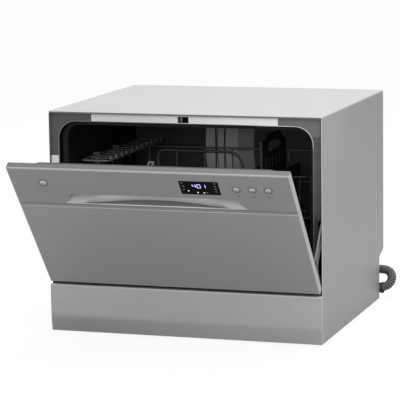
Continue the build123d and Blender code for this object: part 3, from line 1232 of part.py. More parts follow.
def cup_shelf():
    """Folding cup shelf on the left: a ring of wire and cross wires with a toothed edge."""
    hinge_x = -RACK_WIDTH / 2 + SHELF_OFFSET
    middle = (SHELF_FRONT + SHELF_BACK) / 2
    length = SHELF_BACK - SHELF_FRONT
    centre = (hinge_x + SHELF_WIDTH / 2, middle, SHELF_Z)
    rim = rim_loop(Plane(origin=centre, z_dir=(0, 0, 1)), SHELF_WIDTH, length, WIRE / 2)
    with BuildPart() as shelf:
        add(rim)
        across = Plane(origin=(0, 0, SHELF_Z - 0.8 * WIRE), z_dir=(0, 0, 1))
        starts = [(hinge_x, y) for y in spread(SHELF_FRONT + 24, SHELF_BACK - 24, 10)]
        bars_between(across, starts, SHELF_WIDTH, WIRE / 2, "x")
    save(shelf.part, "cup_shelf")


def cutlery_basket():
    """Slotted cutlery basket with a tall carrying bar."""
    w, l = BASKET_WIDTH / 2, BASKET_LENGTH / 2
    low = RACK_FLOOR + 1.35 * WIRE + 0.3
    top = low + BASKET_HEIGHT
    with BuildPart() as basket:
        add_box((BASKET_X - w, BASKET_X + w), (BASKET_Y - l, BASKET_Y + l), (low, top))
        fillet(basket.edges().filter_by(Axis.Z), 8)
        for sign in (-1, 1):
            add_box((BASKET_X + sign * (w / 2) - (w / 2 - 2.5), BASKET_X + sign * (w / 2) + (w / 2 - 2.5)),
                    (BASKET_Y - l + 2.5, BASKET_Y + l - 2.5), (low + 2.5, top + 1), Mode.SUBTRACT)
        with BuildSketch(Plane.YZ.offset(BASKET_X - w - 1)):
            with Locations((BASKET_Y, (low + top) / 2)):
                with GridLocations(22, 0, 6, 1):
                    SlotOverall(BASKET_HEIGHT - 40, 8, rotation=90)
        extrude(amount=BASKET_WIDTH + 2, mode=Mode.SUBTRACT)
        with BuildSketch(Plane.YZ.offset(BASKET_X - 2.4)):
            with BuildLine():
                Polyline(
                    (BASKET_Y - l + 1, low + 1), (BASKET_Y - l + 1, BASKET_HANDLE - 8),
                    (BASKET_Y - 50, BASKET_HANDLE - 8), (BASKET_Y - 42, BASKET_HANDLE),
                    (BASKET_Y + 42, BASKET_HANDLE), (BASKET_Y + 50, BASKET_HANDLE - 8),
                    (BASKET_Y + l - 1, BASKET_HANDLE - 24), (BASKET_Y + l - 1, low + 1),
                    (BASKET_Y - l + 1, low + 1),
                )
            make_face()
            with Locations((BASKET_Y, BASKET_HANDLE - 24)):
                SlotOverall(84, 20, mode=Mode.SUBTRACT)
            with Locations((BASKET_Y, top + 16)):
                with GridLocations(24, 0, 6, 1):
                    SlotOverall(24, 7, rotation=90, mode=Mode.SUBTRACT)
        extrude(amount=4.8)
    save(basket.part, "cutlery_basket")


# ---- drain hose ----------------------------------------------------------------------------
def bend_radii(points):
    """Each bend takes 0.45 of its shorter run, divided by the tangent of half its turn."""
    radii = []
    for before, corner, after in zip(points, points[1:], points[2:]):
        run_in = Vector(*corner) - Vector(*before)
        run_out = Vector(*after) - Vector(*corner)
        turn = radians(run_in.get_angle(run_out))
        radii.append(0.45 * min(run_in.length, run_out.length) / tan(turn / 2))
    return radii


def drain_hose():
    """The free stretch of the hose, from its cuff to the coil."""
    radii = bend_radii(HOSE_POINTS)
    print("hose bend radii", [round(r, 1) for r in radii])
    with BuildPart() as hose:
        with BuildLine() as path:
            FilletPolyline(*HOSE_POINTS, radius=radii)
        with BuildSketch(Plane(origin=path.line @ 0, z_dir=path.line % 0)):
            Circle(HOSE_D / 2)
        sweep()
    length = sum(edge.length for edge in path.edges())
    expected = pi * (HOSE_D / 2) ** 2 * length
    print("hose length", round(length, 1), "volume ratio", round(hose.part.volume / expected, 5))
    save(hose.part, "drain_hose")


def hose_coil():
    """Coiled length behind the cabinet: an outer turn, a quarter of an inner one, and the climb onto them."""
    r = HOSE_D / 2
    with BuildPart() as turns:
        with BuildSketch(Plane.XZ):
            with Locations((COIL_OUTER, r)):
                RectangleRounded(HOSE_D, HOSE_D, 0.45 * r)
        revolve(axis=Axis.Z)
        with BuildSketch(Plane(origin=(0, 0, 0), x_dir=(-1, 0, 0), z_dir=(0, 1, 0))):
            with Locations((COIL_INNER + 1, r)):
                RectangleRounded(HOSE_D + 2, HOSE_D, 0.45 * r)
        revolve(axis=Axis.Z, revolution_arc=90)
    with BuildPart() as climb:
        with BuildLine() as path:
            FilletPolyline(*CLIMB_POINTS, radius=40)
        with BuildSketch(Plane(origin=path.line @ 0, z_dir=path.line % 0)):
            Circle(r)
        sweep()
    with BuildPart() as coil:
        add(turns.part.moved(Location((COIL_X, COIL_Y, 0))))
        add(climb.part)
    save(coil.part, "hose_coil")


def hose_end_cuff():
    """Rubber end cuff of the hose, lying on the coil with its mouth to the right."""
    with BuildPart() as cuff:
        cylinder_x(END_Y, END_Z, END_CUFF_R, END_MOUTH - END_CUFF_LENGTH, END_MOUTH)
        fillet(cuff.edges(), 1.2)
        cylinder_x(END_Y, END_Z, END_BORE_R, END_MOUTH - END_BORE_LENGTH, END_MOUTH + 1, Mode.SUBTRACT)
    save(cuff.part, "hose_end_cuff")


def hose_clip():
    """Clip on the base's rear wall that holds the hose's upper limb."""
    x, y, z = CLIP_AT
    with BuildPart() as clip:
        cylinder_x(y, z, HOSE_D / 2 + 3.4, x - 5, x + 5)
        add_box((x - 5, x + 5), (BASE_REAR, y - HOSE_D / 2), (z - 6, z + 6))
        add_box((x - 9, x + 9), (BASE_REAR, BASE_REAR + 2), (z - 10, z + 10))
        with BuildSketch(Plane(origin=(x + 12, y - 1.1, z + 1.9), z_dir=(-37.0, 3.0, -7.0))):
            Circle(HOSE_D / 2 + 0.5)
        extrude(amount=26, mode=Mode.SUBTRACT)
        add_box((x - 6, x + 6), (y - 6, y + 4), (z - HOSE_D, z - 4), Mode.SUBTRACT)
    save(clip.part, "hose_clip")


def main():
    """Build every piece."""
    top_panel()
    side_panel("side_panel_left", -1)
    side_panel("side_panel_right", 1)
    rear_panel()
    base_tray()
    kick_plate()
    feet()
    cabinet_screws()
    front_frame()
    top_trim_strip()
    jamb_plate()
    latch_housing()
    tub_wrapper()
    tub_back()
    tub_floor()
    tub_rails()
    door_seals()
    air_breather()
    hinge_arms()
    hinge_brackets()
    hinge_pins()
    hinge_brakes()
    door_outer_panel()
    control_panel()
    display_window()
    control_board()
    button_rings()
    for name in BUTTON_XS:
        button(name)
    door_inner_liner()
    dispenser_body()
    dispenser_lid()
    rinse_aid_cap()
    door_strike()
    sump()
    flat_filter()
    filter_cylinder()
    salt_container()
    salt_cap()
    float_cap()
    spray_hub()
    spray_arm()
    wash_pump()
    drain_pump()
    drain_elbow()
    drain_cuff()
    inlet_valve()
    cable_gland()
    rack_floor()
    rack_walls()
    rack_tines()
    rack_glides()
    cup_shelf()
    cutlery_basket()
    drain_hose()
    hose_coil()
    hose_end_cuff()
    hose_clip()


main()
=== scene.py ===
"""Looks of a countertop dishwasher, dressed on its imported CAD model.

The door stands part way open. Everything is in metres, in the frame of the CAD model: +X to the
right seen from the front, the front faces -Y, +Z up, and the origin on the standing surface.
"""

from __future__ import annotations

import logging
import math
from dataclasses import dataclass
from enum import Enum
from functools import cache, partial
from typing import Any, Callable, Optional, Sequence

import bmesh
import bpy
from mathutils import Matrix, Vector

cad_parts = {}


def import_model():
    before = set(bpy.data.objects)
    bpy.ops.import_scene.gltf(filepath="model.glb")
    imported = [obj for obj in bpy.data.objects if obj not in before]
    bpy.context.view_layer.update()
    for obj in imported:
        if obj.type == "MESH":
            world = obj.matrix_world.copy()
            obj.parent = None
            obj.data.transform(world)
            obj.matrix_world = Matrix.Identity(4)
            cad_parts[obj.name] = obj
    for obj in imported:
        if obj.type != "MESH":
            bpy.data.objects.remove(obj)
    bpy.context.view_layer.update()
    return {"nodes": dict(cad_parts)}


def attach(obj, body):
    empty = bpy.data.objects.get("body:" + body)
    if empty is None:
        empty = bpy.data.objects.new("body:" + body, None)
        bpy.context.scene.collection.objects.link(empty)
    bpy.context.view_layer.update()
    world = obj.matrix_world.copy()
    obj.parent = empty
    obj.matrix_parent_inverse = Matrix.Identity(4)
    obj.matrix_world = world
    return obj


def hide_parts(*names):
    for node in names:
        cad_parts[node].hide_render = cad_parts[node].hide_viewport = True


LOG = logging.getLogger("dishwasher")
Point = tuple[float, float, float]
Colour = tuple[float, float, float]
Line = tuple[tuple[float, float], ...]
Shape = bmesh.types.BMesh

MM = 0.001
PIVOT = Vector((0.0, -0.25, 0.11))  # the door's hinge line
OPENING = math.radians(39.25)  # how far the door stands open at rest
DOOR_TURN = (
    Matrix.Translation(PIVOT) @ Matrix.Rotation(OPENING, 4, "X") @ Matrix.Translation(-PIVOT)
)
DOOR_FACE = -0.26  # Y of the shut door's face
ARM_SLOPE = 0.225  # rise of a hinge arm's straight part
WHITE = (1.0, 1.0, 1.0, 1.0)


# ---- Shader maths ----
def operator(operation: str, reflected: bool = False) -> Callable[..., "Signal"]:
    """A Signal's method for one of Python's arithmetic operators.

    Args:
        operation: The Math node's operation.
        reflected: Whether the signal is the second of the two values.

    Returns:
        The method.
    """
    def method(self: "Signal", other: Any) -> "Signal":
        """Join this signal with another signal or number."""
        values = {0: other, 1: self} if reflected else {0: self, 1: other}
        return self.bench.node("Math", values, operation=operation)

    return method


@dataclass(frozen=True, eq=False)
class Signal:
    """An output socket of a bench's tree that can be used in Python expressions."""

    bench: ShaderBench
    socket: bpy.types.NodeSocket

    __add__ = operator("ADD")
    __radd__ = operator("ADD", reflected=True)
    __sub__ = operator("SUBTRACT")
    __rsub__ = operator("SUBTRACT", reflected=True)
    __mul__ = operator("MULTIPLY")

    def __abs__(self) -> "Signal":
        """Absolute value."""
        return self.bench.node("Math", {0: self}, operation="ABSOLUTE")

    def clamp(self) -> "Signal":
        """This signal held between 0 and 1."""
        return self.bench.node("Clamp", {0: self})


def add_node(tree: bpy.types.NodeTree, kind: str, values: dict[Any, Any],
             **settings: Any) -> bpy.types.Node:
    """Add any node to a shader or Geometry Nodes tree.

    Args:
        tree: The tree.
        kind: The node's type.
        values: Its input sockets by name or index, as signals, sockets or plain values.
        **settings: Its properties, set first; stops holds a ramp's places and colours.

    Returns:
        The node.
    """
    made = tree.nodes.new(kind)
    for key, value in settings.items():
        if key == "stops":
            for element, (place, colour) in zip(made.color_ramp.elements, value):
                element.position = place
                element.color = colour
        else:
            setattr(made, key, value)
    for key, value in values.items():
        source = value.socket if isinstance(value, Signal) else value
        if isinstance(source, bpy.types.NodeSocket):
            tree.links.new(source, made.inputs[key])
        else:
            made.inputs[key].default_value = source
    return made


class ShaderBench:
    """Builds the node tree of one material or world from Python expressions."""

    def __init__(self, name: str, store: Any = None) -> None:
        """Start an empty material or world.

        Args:
            name: Its name.
            store: What it is kept in, such as bpy.data.worlds; materials if not given.
        """
        self.owner = (bpy.data.materials if store is None else store).new(name)
        self.owner.use_nodes = True
        self.tree = self.owner.node_tree
        self.tree.nodes.clear()

    def node(self, kind: str, values: dict[Any, Any], output: Any = 0,
             **settings: Any) -> Signal:
        """Add any node that has an output.

        Args:
            kind: The node's type, without ShaderNode before it.
            values: Its input sockets by name or index, as signals or plain values.
            output: Which output to return, by name or index.
            **settings: Its properties.

        Returns:
            The output as a signal.
        """
        made = add_node(self.tree, "ShaderNode" + kind, values, **settings)
        return Signal(self, made.outputs[output])

    def place(self) -> Signal:
        """The piece's own coordinates, in metres."""
        return self.node("TexCoord", {}, "Object")

    def along(self, axis: str) -> Signal:
        """One of the piece's own coordinates.

        Args:
            axis: X, Y or Z.

        Returns:
            The coordinate, in metres.
        """
        return self.node("SeparateXYZ", {0: self.place()}, axis)

    def shut(self, axis: str) -> Signal:
        """A coordinate that the open door would have if it were shut.

        Args:
            axis: Y or Z.

        Returns:
            The coordinate, in metres.
        """
        index = "XYZ".index(axis)
        way = DOOR_TURN.to_3x3().col[index]
        reach = self.node(
            "VectorMath", {0: self.place(), 1: tuple(way)}, "Value", operation="DOT_PRODUCT"
        )
        return reach + (PIVOT[index] - PIVOT.dot(way))

    def swing(self) -> Signal:
        """Distance from the door's hinge line, in metres."""
        flat = self.node(
            "VectorMath", {0: self.place(), 1: (0.0, 1.0, 1.0)}, "Vector", operation="MULTIPLY"
        )
        line = (0.0, PIVOT.y, PIVOT.z)
        return self.node("VectorMath", {0: flat, 1: line}, "Value", operation="DISTANCE")

    def noise(self, scale: float, detail: float = 3.0, stretch: Point = (1.0, 1.0, 1.0),
              rough: float = 0.5) -> Signal:
        """Seamless noise in the piece's coordinates.

        Args:
            scale: Features per metre, roughly.
            detail: Octaves.
            stretch: Factor on each coordinate, to draw the pattern out.
            rough: Weight of the finer octaves.

        Returns:
            The noise, from 0 to 1.
        """
        placed = self.node("Mapping", {"Vector": self.place(), "Scale": stretch}, "Vector")
        values = {"Vector": placed, "Scale": scale, "Detail": detail, "Roughness": rough}
        return self.node("TexNoise", values, "Fac")

    def band(self, value: Signal, low: float, high: float) -> Signal:
        """Ease from 0 to 1 between two values.

        Args:
            value: The signal to read.
            low: Where the result is 0.
            high: Where the result is 1.

        Returns:
            The eased signal.
        """
        return self.node(
            "MapRange", {"Value": value, "From Min": low, "From Max": high},
            interpolation_type="SMOOTHSTEP",
        )

    def blend(self, first: Any, second: Any, share: Any) -> Signal:
        """Mix two colours.

        Args:
            first: Colour where share is 0.
            second: Colour where share is 1.
            share: Signal or number from 0 to 1.

        Returns:
            The mixed colour.
        """
        def rgba(value: Any) -> Any:
            """A colour with its alpha, or the signal as it is."""
            return value if isinstance(value, Signal) else (*value, 1.0)

        values = {"Factor": share, 6: rgba(first), 7: rgba(second)}
        return self.node("Mix", values, 2, data_type="RGBA")

    def bump(self, height: Signal, depth: float, strength: float = 0.5) -> Signal:
        """Turn a height into a normal.

        Args:
            height: The height, from 0 to 1.
            depth: What a height of 1 stands for, in metres.
            strength: Share of the effect.

        Returns:
            The normal.
        """
        values = {"Strength": strength, "Distance": depth, "Height": height}
        return self.node("Bump", values, "Normal")

    def close(self, surface: Signal, kind: str = "Material") -> Any:
        """End the tree.

        Args:
            surface: The shader that it gives.
            kind: Material or World.

        Returns:
            The finished material or world.
        """
        add_node(self.tree, "ShaderNodeOutput" + kind, {0: surface})
        return self.owner

    def finish(self, **sockets: Any) -> bpy.types.Material:
        """Close the tree with a Principled shader.

        Args:
            **sockets: Socket names, with underscores for spaces, and their signals or values.

        Returns:
            The finished material.
        """
        values = {
            key.replace("_", " "): (*value, 1.0) if isinstance(value, tuple) else value
            for key, value in sockets.items()
        }
        return self.close(self.node("BsdfPrincipled", values))


def grey(level: float) -> Colour:
    """Linear colour of a neutral grey.

    Args:
        level: The grey as it looks, from 0 to 255.

    Returns:
        The linear colour.
    """
    share = level / 255.0
    linear = share / 12.92 if share <= 0.04045 else ((share + 0.055) / 1.055) ** 2.4
    return (linear, linear, linear)


def tinted(colour: Colour, factor: float) -> Colour:
    """A colour made lighter or darker.

    Args:
        colour: Linear colour.
        factor: What each channel is multiplied by.

    Returns:
        The new colour, each channel at most 1.
    """
    red, green, blue = (min(1.0, channel * factor) for channel in colour)
    return (red, green, blue)


# ---- Finishes ----
class Grain(Enum):
    """Direction in which a brushed metal is drawn."""

    ACROSS = (1.0, 60.0, 60.0)
    BACK = (60.0, 1.0, 60.0)

    def lines(self, bench: ShaderBench) -> Signal:
        """The fine lines along the grain.

        Args:
            bench: The material's bench.

        Returns:
            The lines, from 0 to 1.
        """
        return bench.noise(38.0, 4.0, self.value, 0.65)


@dataclass(frozen=True)
class PaintedLightZone:
    """Zone of painted light or shade in another tone, such as a painted highlight on a rolled
    edge or a lip, or painted shade on a face in shadow.

    Each limit is an axis and the two places where the zone starts and where it is full. The
    axes are X, Y and Z of the piece, "spread", which is X on either side, "door Y" and
    "door Z" that turn with the door, "hinge", the distance from its hinge line, and "arm",
    the height across a hinge arm's straight part.
    """

    tone: Colour
    limits: tuple[tuple[str, float, float], ...]

    def over(self, bench: ShaderBench, colour: Any) -> Signal:
        """Lay the zone over a colour.

        Args:
            bench: The material's bench.
            colour: The colour outside the zone.

        Returns:
            The colour with the zone in it.
        """
        share: Any = 1.0
        for axis, start, full in self.limits:
            if axis == "hinge":
                read = bench.swing()
            elif axis == "arm":
                read = bench.shut("Z") - bench.shut("Y") * ARM_SLOPE
            elif axis == "spread":
                read = abs(bench.along("X"))
            elif axis.startswith("door "):
                read = bench.shut(axis[-1])
            else:
                read = bench.along(axis)
            share = bench.band(read, start, full) * share
        return bench.blend(colour, self.tone, share)


def tone(level: float, *limits: tuple[str, float, float]) -> PaintedLightZone:
    """A zone of painted light or shade in a neutral grey.

    Args:
        level: The grey as it looks, from 0 to 255.
        *limits: The zone's limits.

    Returns:
        The zone.
    """
    return PaintedLightZone(grey(level), limits)


@dataclass(frozen=True)
class Finish:
    """What the finishes share: one colour in two shades, and zones of painted light and shade
    over it.
    """

    name: str
    colour: Colour
    roughness: float = 0.45
    metallic: float = 0.0
    painted_light_zones: tuple[PaintedLightZone, ...] = ()

    def shaded(self, bench: ShaderBench, reach: float, share: Signal) -> Signal:
        """The colour between a darker and a lighter shade of it, with the zones of painted light
        and shade over it.

        Args:
            bench: The material's bench.
            reach: How much darker and lighter the two shades are.
            share: Where it is dark, 0, and where light, 1.

        Returns:
            The colour.
        """
        dark, light = tinted(self.colour, 1.0 - reach), tinted(self.colour, 1.0 + reach)
        colour = bench.blend(dark, light, share)
        for accent in self.painted_light_zones:
            colour = accent.over(bench, colour)
        return colour

    def sockets(self, bench: ShaderBench) -> dict[str, Any]:
        """The sockets of its Principled shader, with underscores for spaces.

        Args:
            bench: The material's bench.
        """
        raise NotImplementedError

    def material(self) -> bpy.types.Material:
        """Build the finish."""
        bench = ShaderBench(self.name)
        return bench.finish(**self.sockets(bench))


@dataclass(frozen=True)
class SilverPaint(Finish):
    """Sprayed metallic paint on sheet steel: fine flake, soft orange peel and a clear coat."""

    roughness: float = 0.42
    metallic: float = 0.35
    coat: float = 0.12
    flakes: float = 2600.0  # per metre, as are the two below
    clouds: float = 7.0
    peels: float = 420.0
    depth: float = 0.000012

    def sockets(self, bench: ShaderBench) -> dict[str, Any]:
        """Flake and cloud in the colour, orange peel in the normal."""
        flake = bench.noise(self.flakes, 1.0)
        cloud = bench.noise(self.clouds, 2.0)
        peel = bench.noise(self.peels, 2.0)
        return dict(
            Base_Color=self.shaded(bench, 0.07, (flake * 0.55 + cloud * 0.45).clamp()),
            Roughness=self.roughness - 0.05 + flake * 0.06 + cloud * 0.04,
            Metallic=self.metallic, Coat_Weight=self.coat, Coat_Roughness=0.25,
            Normal=bench.bump(peel, self.depth),
        )


@dataclass(frozen=True)
class MouldedPlastic(Finish):
    """Injection-moulded plastic with a fine spark-eroded grain."""

    grains: float = 1500.0  # per metre, as are the flow marks
    flows: float = 16.0
    depth: float = 0.00003

    def sockets(self, bench: ShaderBench) -> dict[str, Any]:
        """Grain all over, and flow marks drawn out along X."""
        grain = bench.noise(self.grains, 2.0)
        flow = bench.noise(self.flows, 2.0, (1.0, 3.0, 3.0))
        return dict(
            Base_Color=self.shaded(bench, 0.08, (flow * 0.6 + grain * 0.4).clamp()),
            Roughness=self.roughness - 0.04 + grain * 0.05 + flow * 0.04,
            Metallic=self.metallic, Normal=bench.bump(grain, self.depth, 0.6),
        )


@dataclass(frozen=True)
class BrushedSteel(Finish):
    """Stainless sheet with drawn lines and faint handling marks."""

    metallic: float = 1.0
    grain: Grain = Grain.ACROSS
    depth: float = 0.00001

    def sockets(self, bench: ShaderBench) -> dict[str, Any]:
        """Drawn lines, and smears in the roughness."""
        lines = self.grain.lines(bench)
        smear = bench.noise(9.0)
        return dict(
            Base_Color=self.shaded(bench, 0.14, lines),
            Roughness=self.roughness - 0.06 + lines * 0.08 + smear * 0.06,
            Metallic=self.metallic, Normal=bench.bump(lines, self.depth),
        )


@dataclass(frozen=True)
class TubBackSteel(Finish):
    """The tub's rear wall: steel painted dark as shade, with painted reflections on its pressed
    folds and painted shade in the seams between them.
    """

    folds: tuple[tuple[float, float, float], ...] = ()
    # middle and half width of each seam's painted shade
    seams: tuple[tuple[float, float], ...] = ((-0.0765, 0.0022), (-0.0575, 0.0016))
    # X of the painted glint
    glint: float = -0.096
    # heights where the wall's painted shade sets in at the bottom and at the top
    low: float = 0.225
    high: float = 0.362
    # how the folds' painted reflections bow over the wall
    waist: float = 0.315
    bend: float = 1.5

    def sockets(self, bench: ShaderBench) -> dict[str, Any]:
        """The folds' painted reflections along X, bowed, a painted glint, and painted shade over
        the wall's height.
        """
        across, up = bench.along("X"), bench.along("Z")
        streaks = bench.noise(3.0, 3.0, (26.0, 1.0, 2.0), 0.6)
        bow = up - self.waist
        edge = across - bow * bow * self.bend
        colour: Any = self.colour
        # each fold's painted reflection, from its start to its end in its grey
        for start, end, level in self.folds:
            rise = bench.band(edge, start - 0.001, start + 0.0015)
            share = rise - bench.band(edge, end - 0.003, end)
            colour = bench.blend(colour, grey(level), share.clamp())
        # painted glint along one fold's edge
        painted_glint = bench.band(abs(edge - self.glint), 0.0045, 0.0015)
        colour = bench.blend(colour, grey(255), painted_glint)
        # painted shade in the seams
        for middle, half in self.seams:
            dark = bench.band(abs(across - middle), half, half * 0.6)
            colour = bench.blend(colour, grey(24), dark)
        # painted shade, darker towards the bottom and the top of the wall
        height = bench.band(up, self.low, 0.30) * 0.7 + 0.3
        height = height * (1.0 - bench.band(up, self.high - 0.006, self.high))
        lit = (height * (0.86 + streaks * 0.3)).clamp()
        return dict(
            Base_Color=bench.blend(tinted(self.colour, 0.8), colour, lit), Metallic=0.0,
            Roughness=0.42 + streaks * 0.1, Normal=bench.bump(streaks, 0.0002, 0.3),
        )


@dataclass(frozen=True)
class FrameSteel(Finish):
    """Front frame: dark stainless, with painted light over its upper right and painted shade at
    its foot.
    """

    # colour of the painted light; step, ease and right place it at the upper right
    light: Colour = grey(120)
    step: float = 0.3987
    ease: float = 0.0008
    right: tuple[float, float] = (0.1, 0.19)
    # foot: how dark the painted shade makes the frame's foot, which low places
    foot: float = 0.3
    low: tuple[float, float] = (0.262, 0.236)

    def sockets(self, bench: ShaderBench) -> dict[str, Any]:
        """Painted light at the upper right, painted shade at the foot, and drawn lines over them.
        """
        lines = Grain.ACROSS.lines(bench)
        upper = bench.band(bench.along("Z"), self.step - self.ease, self.step + self.ease)
        right = bench.band(bench.along("X"), *self.right)
        colour = bench.blend(self.colour, self.light, upper * right)
        foot = bench.band(bench.along("Z"), *self.low)
        colour = bench.blend(colour, tinted(self.colour, self.foot), foot)
        return dict(
            Base_Color=bench.blend(colour, tinted(self.colour, 1.5), lines * 0.22),
            Roughness=0.4 + lines * 0.08, Metallic=0.35, Normal=bench.bump(lines, 0.000008),
        )


@dataclass(frozen=True)
class PlainMetal(Finish):
    """Zinc-plated or polished metal with fine scratches."""

    metallic: float = 1.0

    def sockets(self, bench: ShaderBench) -> dict[str, Any]:
        """Scratches drawn out along X and Y."""
        marks = bench.noise(160.0, 4.0, (1.0, 1.0, 3.0), 0.7)
        return dict(
            Base_Color=self.shaded(bench, 0.1, marks), Metallic=self.metallic,
            Roughness=self.roughness - 0.04 + marks * 0.1,
            Normal=bench.bump(marks, 0.00001, 0.4),
        )


@dataclass(frozen=True)
class Elastomer(Finish):
    """Dull rubber with a powdery surface."""

    def sockets(self, bench: ShaderBench) -> dict[str, Any]:
        """Dust in the colour, the roughness and the normal."""
        dust = bench.noise(300.0)
        return dict(
            Base_Color=bench.blend(tinted(self.colour, 0.8), tinted(self.colour, 1.35), dust),
            Roughness=0.66 + dust * 0.12, Normal=bench.bump(dust, 0.00004),
        )


@dataclass(frozen=True)
class RibbedPlastic(Finish):
    """Blown polypropylene of a drain hose, dusty all over, and duller with painted shade down in
    its grooves.
    """

    # how dark the painted shade in the grooves makes the colour
    groove: float = 0.22

    def sockets(self, bench: ShaderBench) -> dict[str, Any]:
        """Dust all over, and painted shade where the tube's tree marks a groove."""
        depth = bench.node("Attribute", {}, "Fac", attribute_name="groove")
        dust = bench.noise(420.0)
        colour = bench.blend(tinted(self.colour, 0.85), tinted(self.colour, 1.2), dust)
        return dict(
            # painted shade in the grooves
            Base_Color=bench.blend(colour, tinted(self.colour, self.groove), depth),
            Roughness=0.42 + dust * 0.1 + depth * 0.2, Normal=bench.bump(dust, 0.00003),
        )


@dataclass(frozen=True)
class DarkWindow(Finish):
    """Smoked acrylic of the display."""

    def sockets(self, bench: ShaderBench) -> dict[str, Any]:
        """A faint haze."""
        haze = bench.noise(90.0, 2.0)
        return dict(
            Base_Color=bench.blend(self.colour, tinted(self.colour, 1.5), haze),
            Roughness=0.16 + haze * 0.05, Specular_IOR_Level=0.08,
        )


@dataclass(frozen=True)
class Glow(Finish):
    """Lit part of the display, and the faint painted glow on its unlit symbols."""

    strength: float = 1.0

    def sockets(self, bench: ShaderBench) -> dict[str, Any]:
        """A light that is slightly uneven."""
        spread = bench.noise(700.0, 1.0)
        return dict(
            Base_Color=tinted(self.colour, 0.3), Roughness=0.4, Emission_Strength=self.strength,
            Emission_Color=bench.blend(tinted(self.colour, 0.85), self.colour, spread),
        )


DOOR_TOP = 0.437  # Z of the shut door's top
DOOR_SIDE = 0.2735  # X of the door's right side
SEAM = 0.334  # Z between the control panel and the skin
IN_RECESS = ("door Y", -0.2596, -0.2588)  # behind the control panel's face
OVER_LIP = ("door Z", 0.3390, 0.3420)  # above the recess's lower lip
TUB_LIP = ("Y", -0.2362, -0.2366)  # front edge of the tub
LOW_KICK = ("Z", 0.044, 0.022)  # low on the kick plate
# painted highlight on the door's right edge and painted shade on its left edge
RIM_PAINTED_LIGHT = (  # the door's sides
    tone(188, ("X", DOOR_SIDE - 0.0022, DOOR_SIDE - 0.0006)),
    tone(120, ("X", 0.0015 - DOOR_SIDE, -DOOR_SIDE)),
)
# painted shade on the top face, a painted highlight on its front edge, painted light in the
# handle recess with a painted glint in its middle, and painted shade on the lip's edge and its
# upper face
PANEL_PAINTED_LIGHT = RIM_PAINTED_LIGHT + (  # the top edge, the recess and its lip
    tone(112, ("door Y", -0.2572, -0.2562), ("door Z", DOOR_TOP - 0.0012, DOOR_TOP - 0.0006)),
    tone(174, ("door Y", -0.2572, -0.2582), ("door Z", DOOR_TOP - 0.0028, DOOR_TOP - 0.0014)),
    tone(188, IN_RECESS, ("door Z", 0.3700, 0.3690), OVER_LIP),
    tone(228, IN_RECESS, ("door Z", 0.3714, 0.3706), OVER_LIP, ("spread", 0.135, 0.085)),
    tone(140, ("door Y", -0.2590, -0.2580), ("door Z", 0.3395, 0.3385),
         ("door Z", 0.3362, 0.3372)),
    tone(120, ("door Y", -0.2570, -0.2578), ("door Z", 0.3430, 0.3420),
         ("door Z", 0.3398, 0.3406)),
)
# painted light over the casing's upper front, a painted highlight on the front hem's edge and
# painted shade on the hem's front face
CASING_PAINTED_LIGHT = (  # the upper front, the front hem and its edge
    tone(174, ("Y", 0.05, -0.20), ("Z", 0.24, 0.42)),
    tone(200, ("Y", -0.2418, -0.2428)),
    tone(76, ("Y", -0.2428, -0.2436), ("spread", 0.2745, 0.2738)),
)
# the door's sides, and a painted highlight along the skin's top edge under the seam
SKIN_PAINTED_LIGHT = RIM_PAINTED_LIGHT + (tone(192, ("door Z", SEAM - 0.0022, SEAM - 0.001)),)
# painted highlight on the quadrant's rim and two painted lines of light
ARM_PAINTED_LIGHT = (  # the quadrant's rim and two lines of light
    tone(180, ("hinge", 0.1235, 0.1250)),
    tone(142, ("arm", 0.2312, 0.2318)),
    tone(136, ("arm", 0.2170, 0.2176), ("arm", 0.2201, 0.2195)),
)
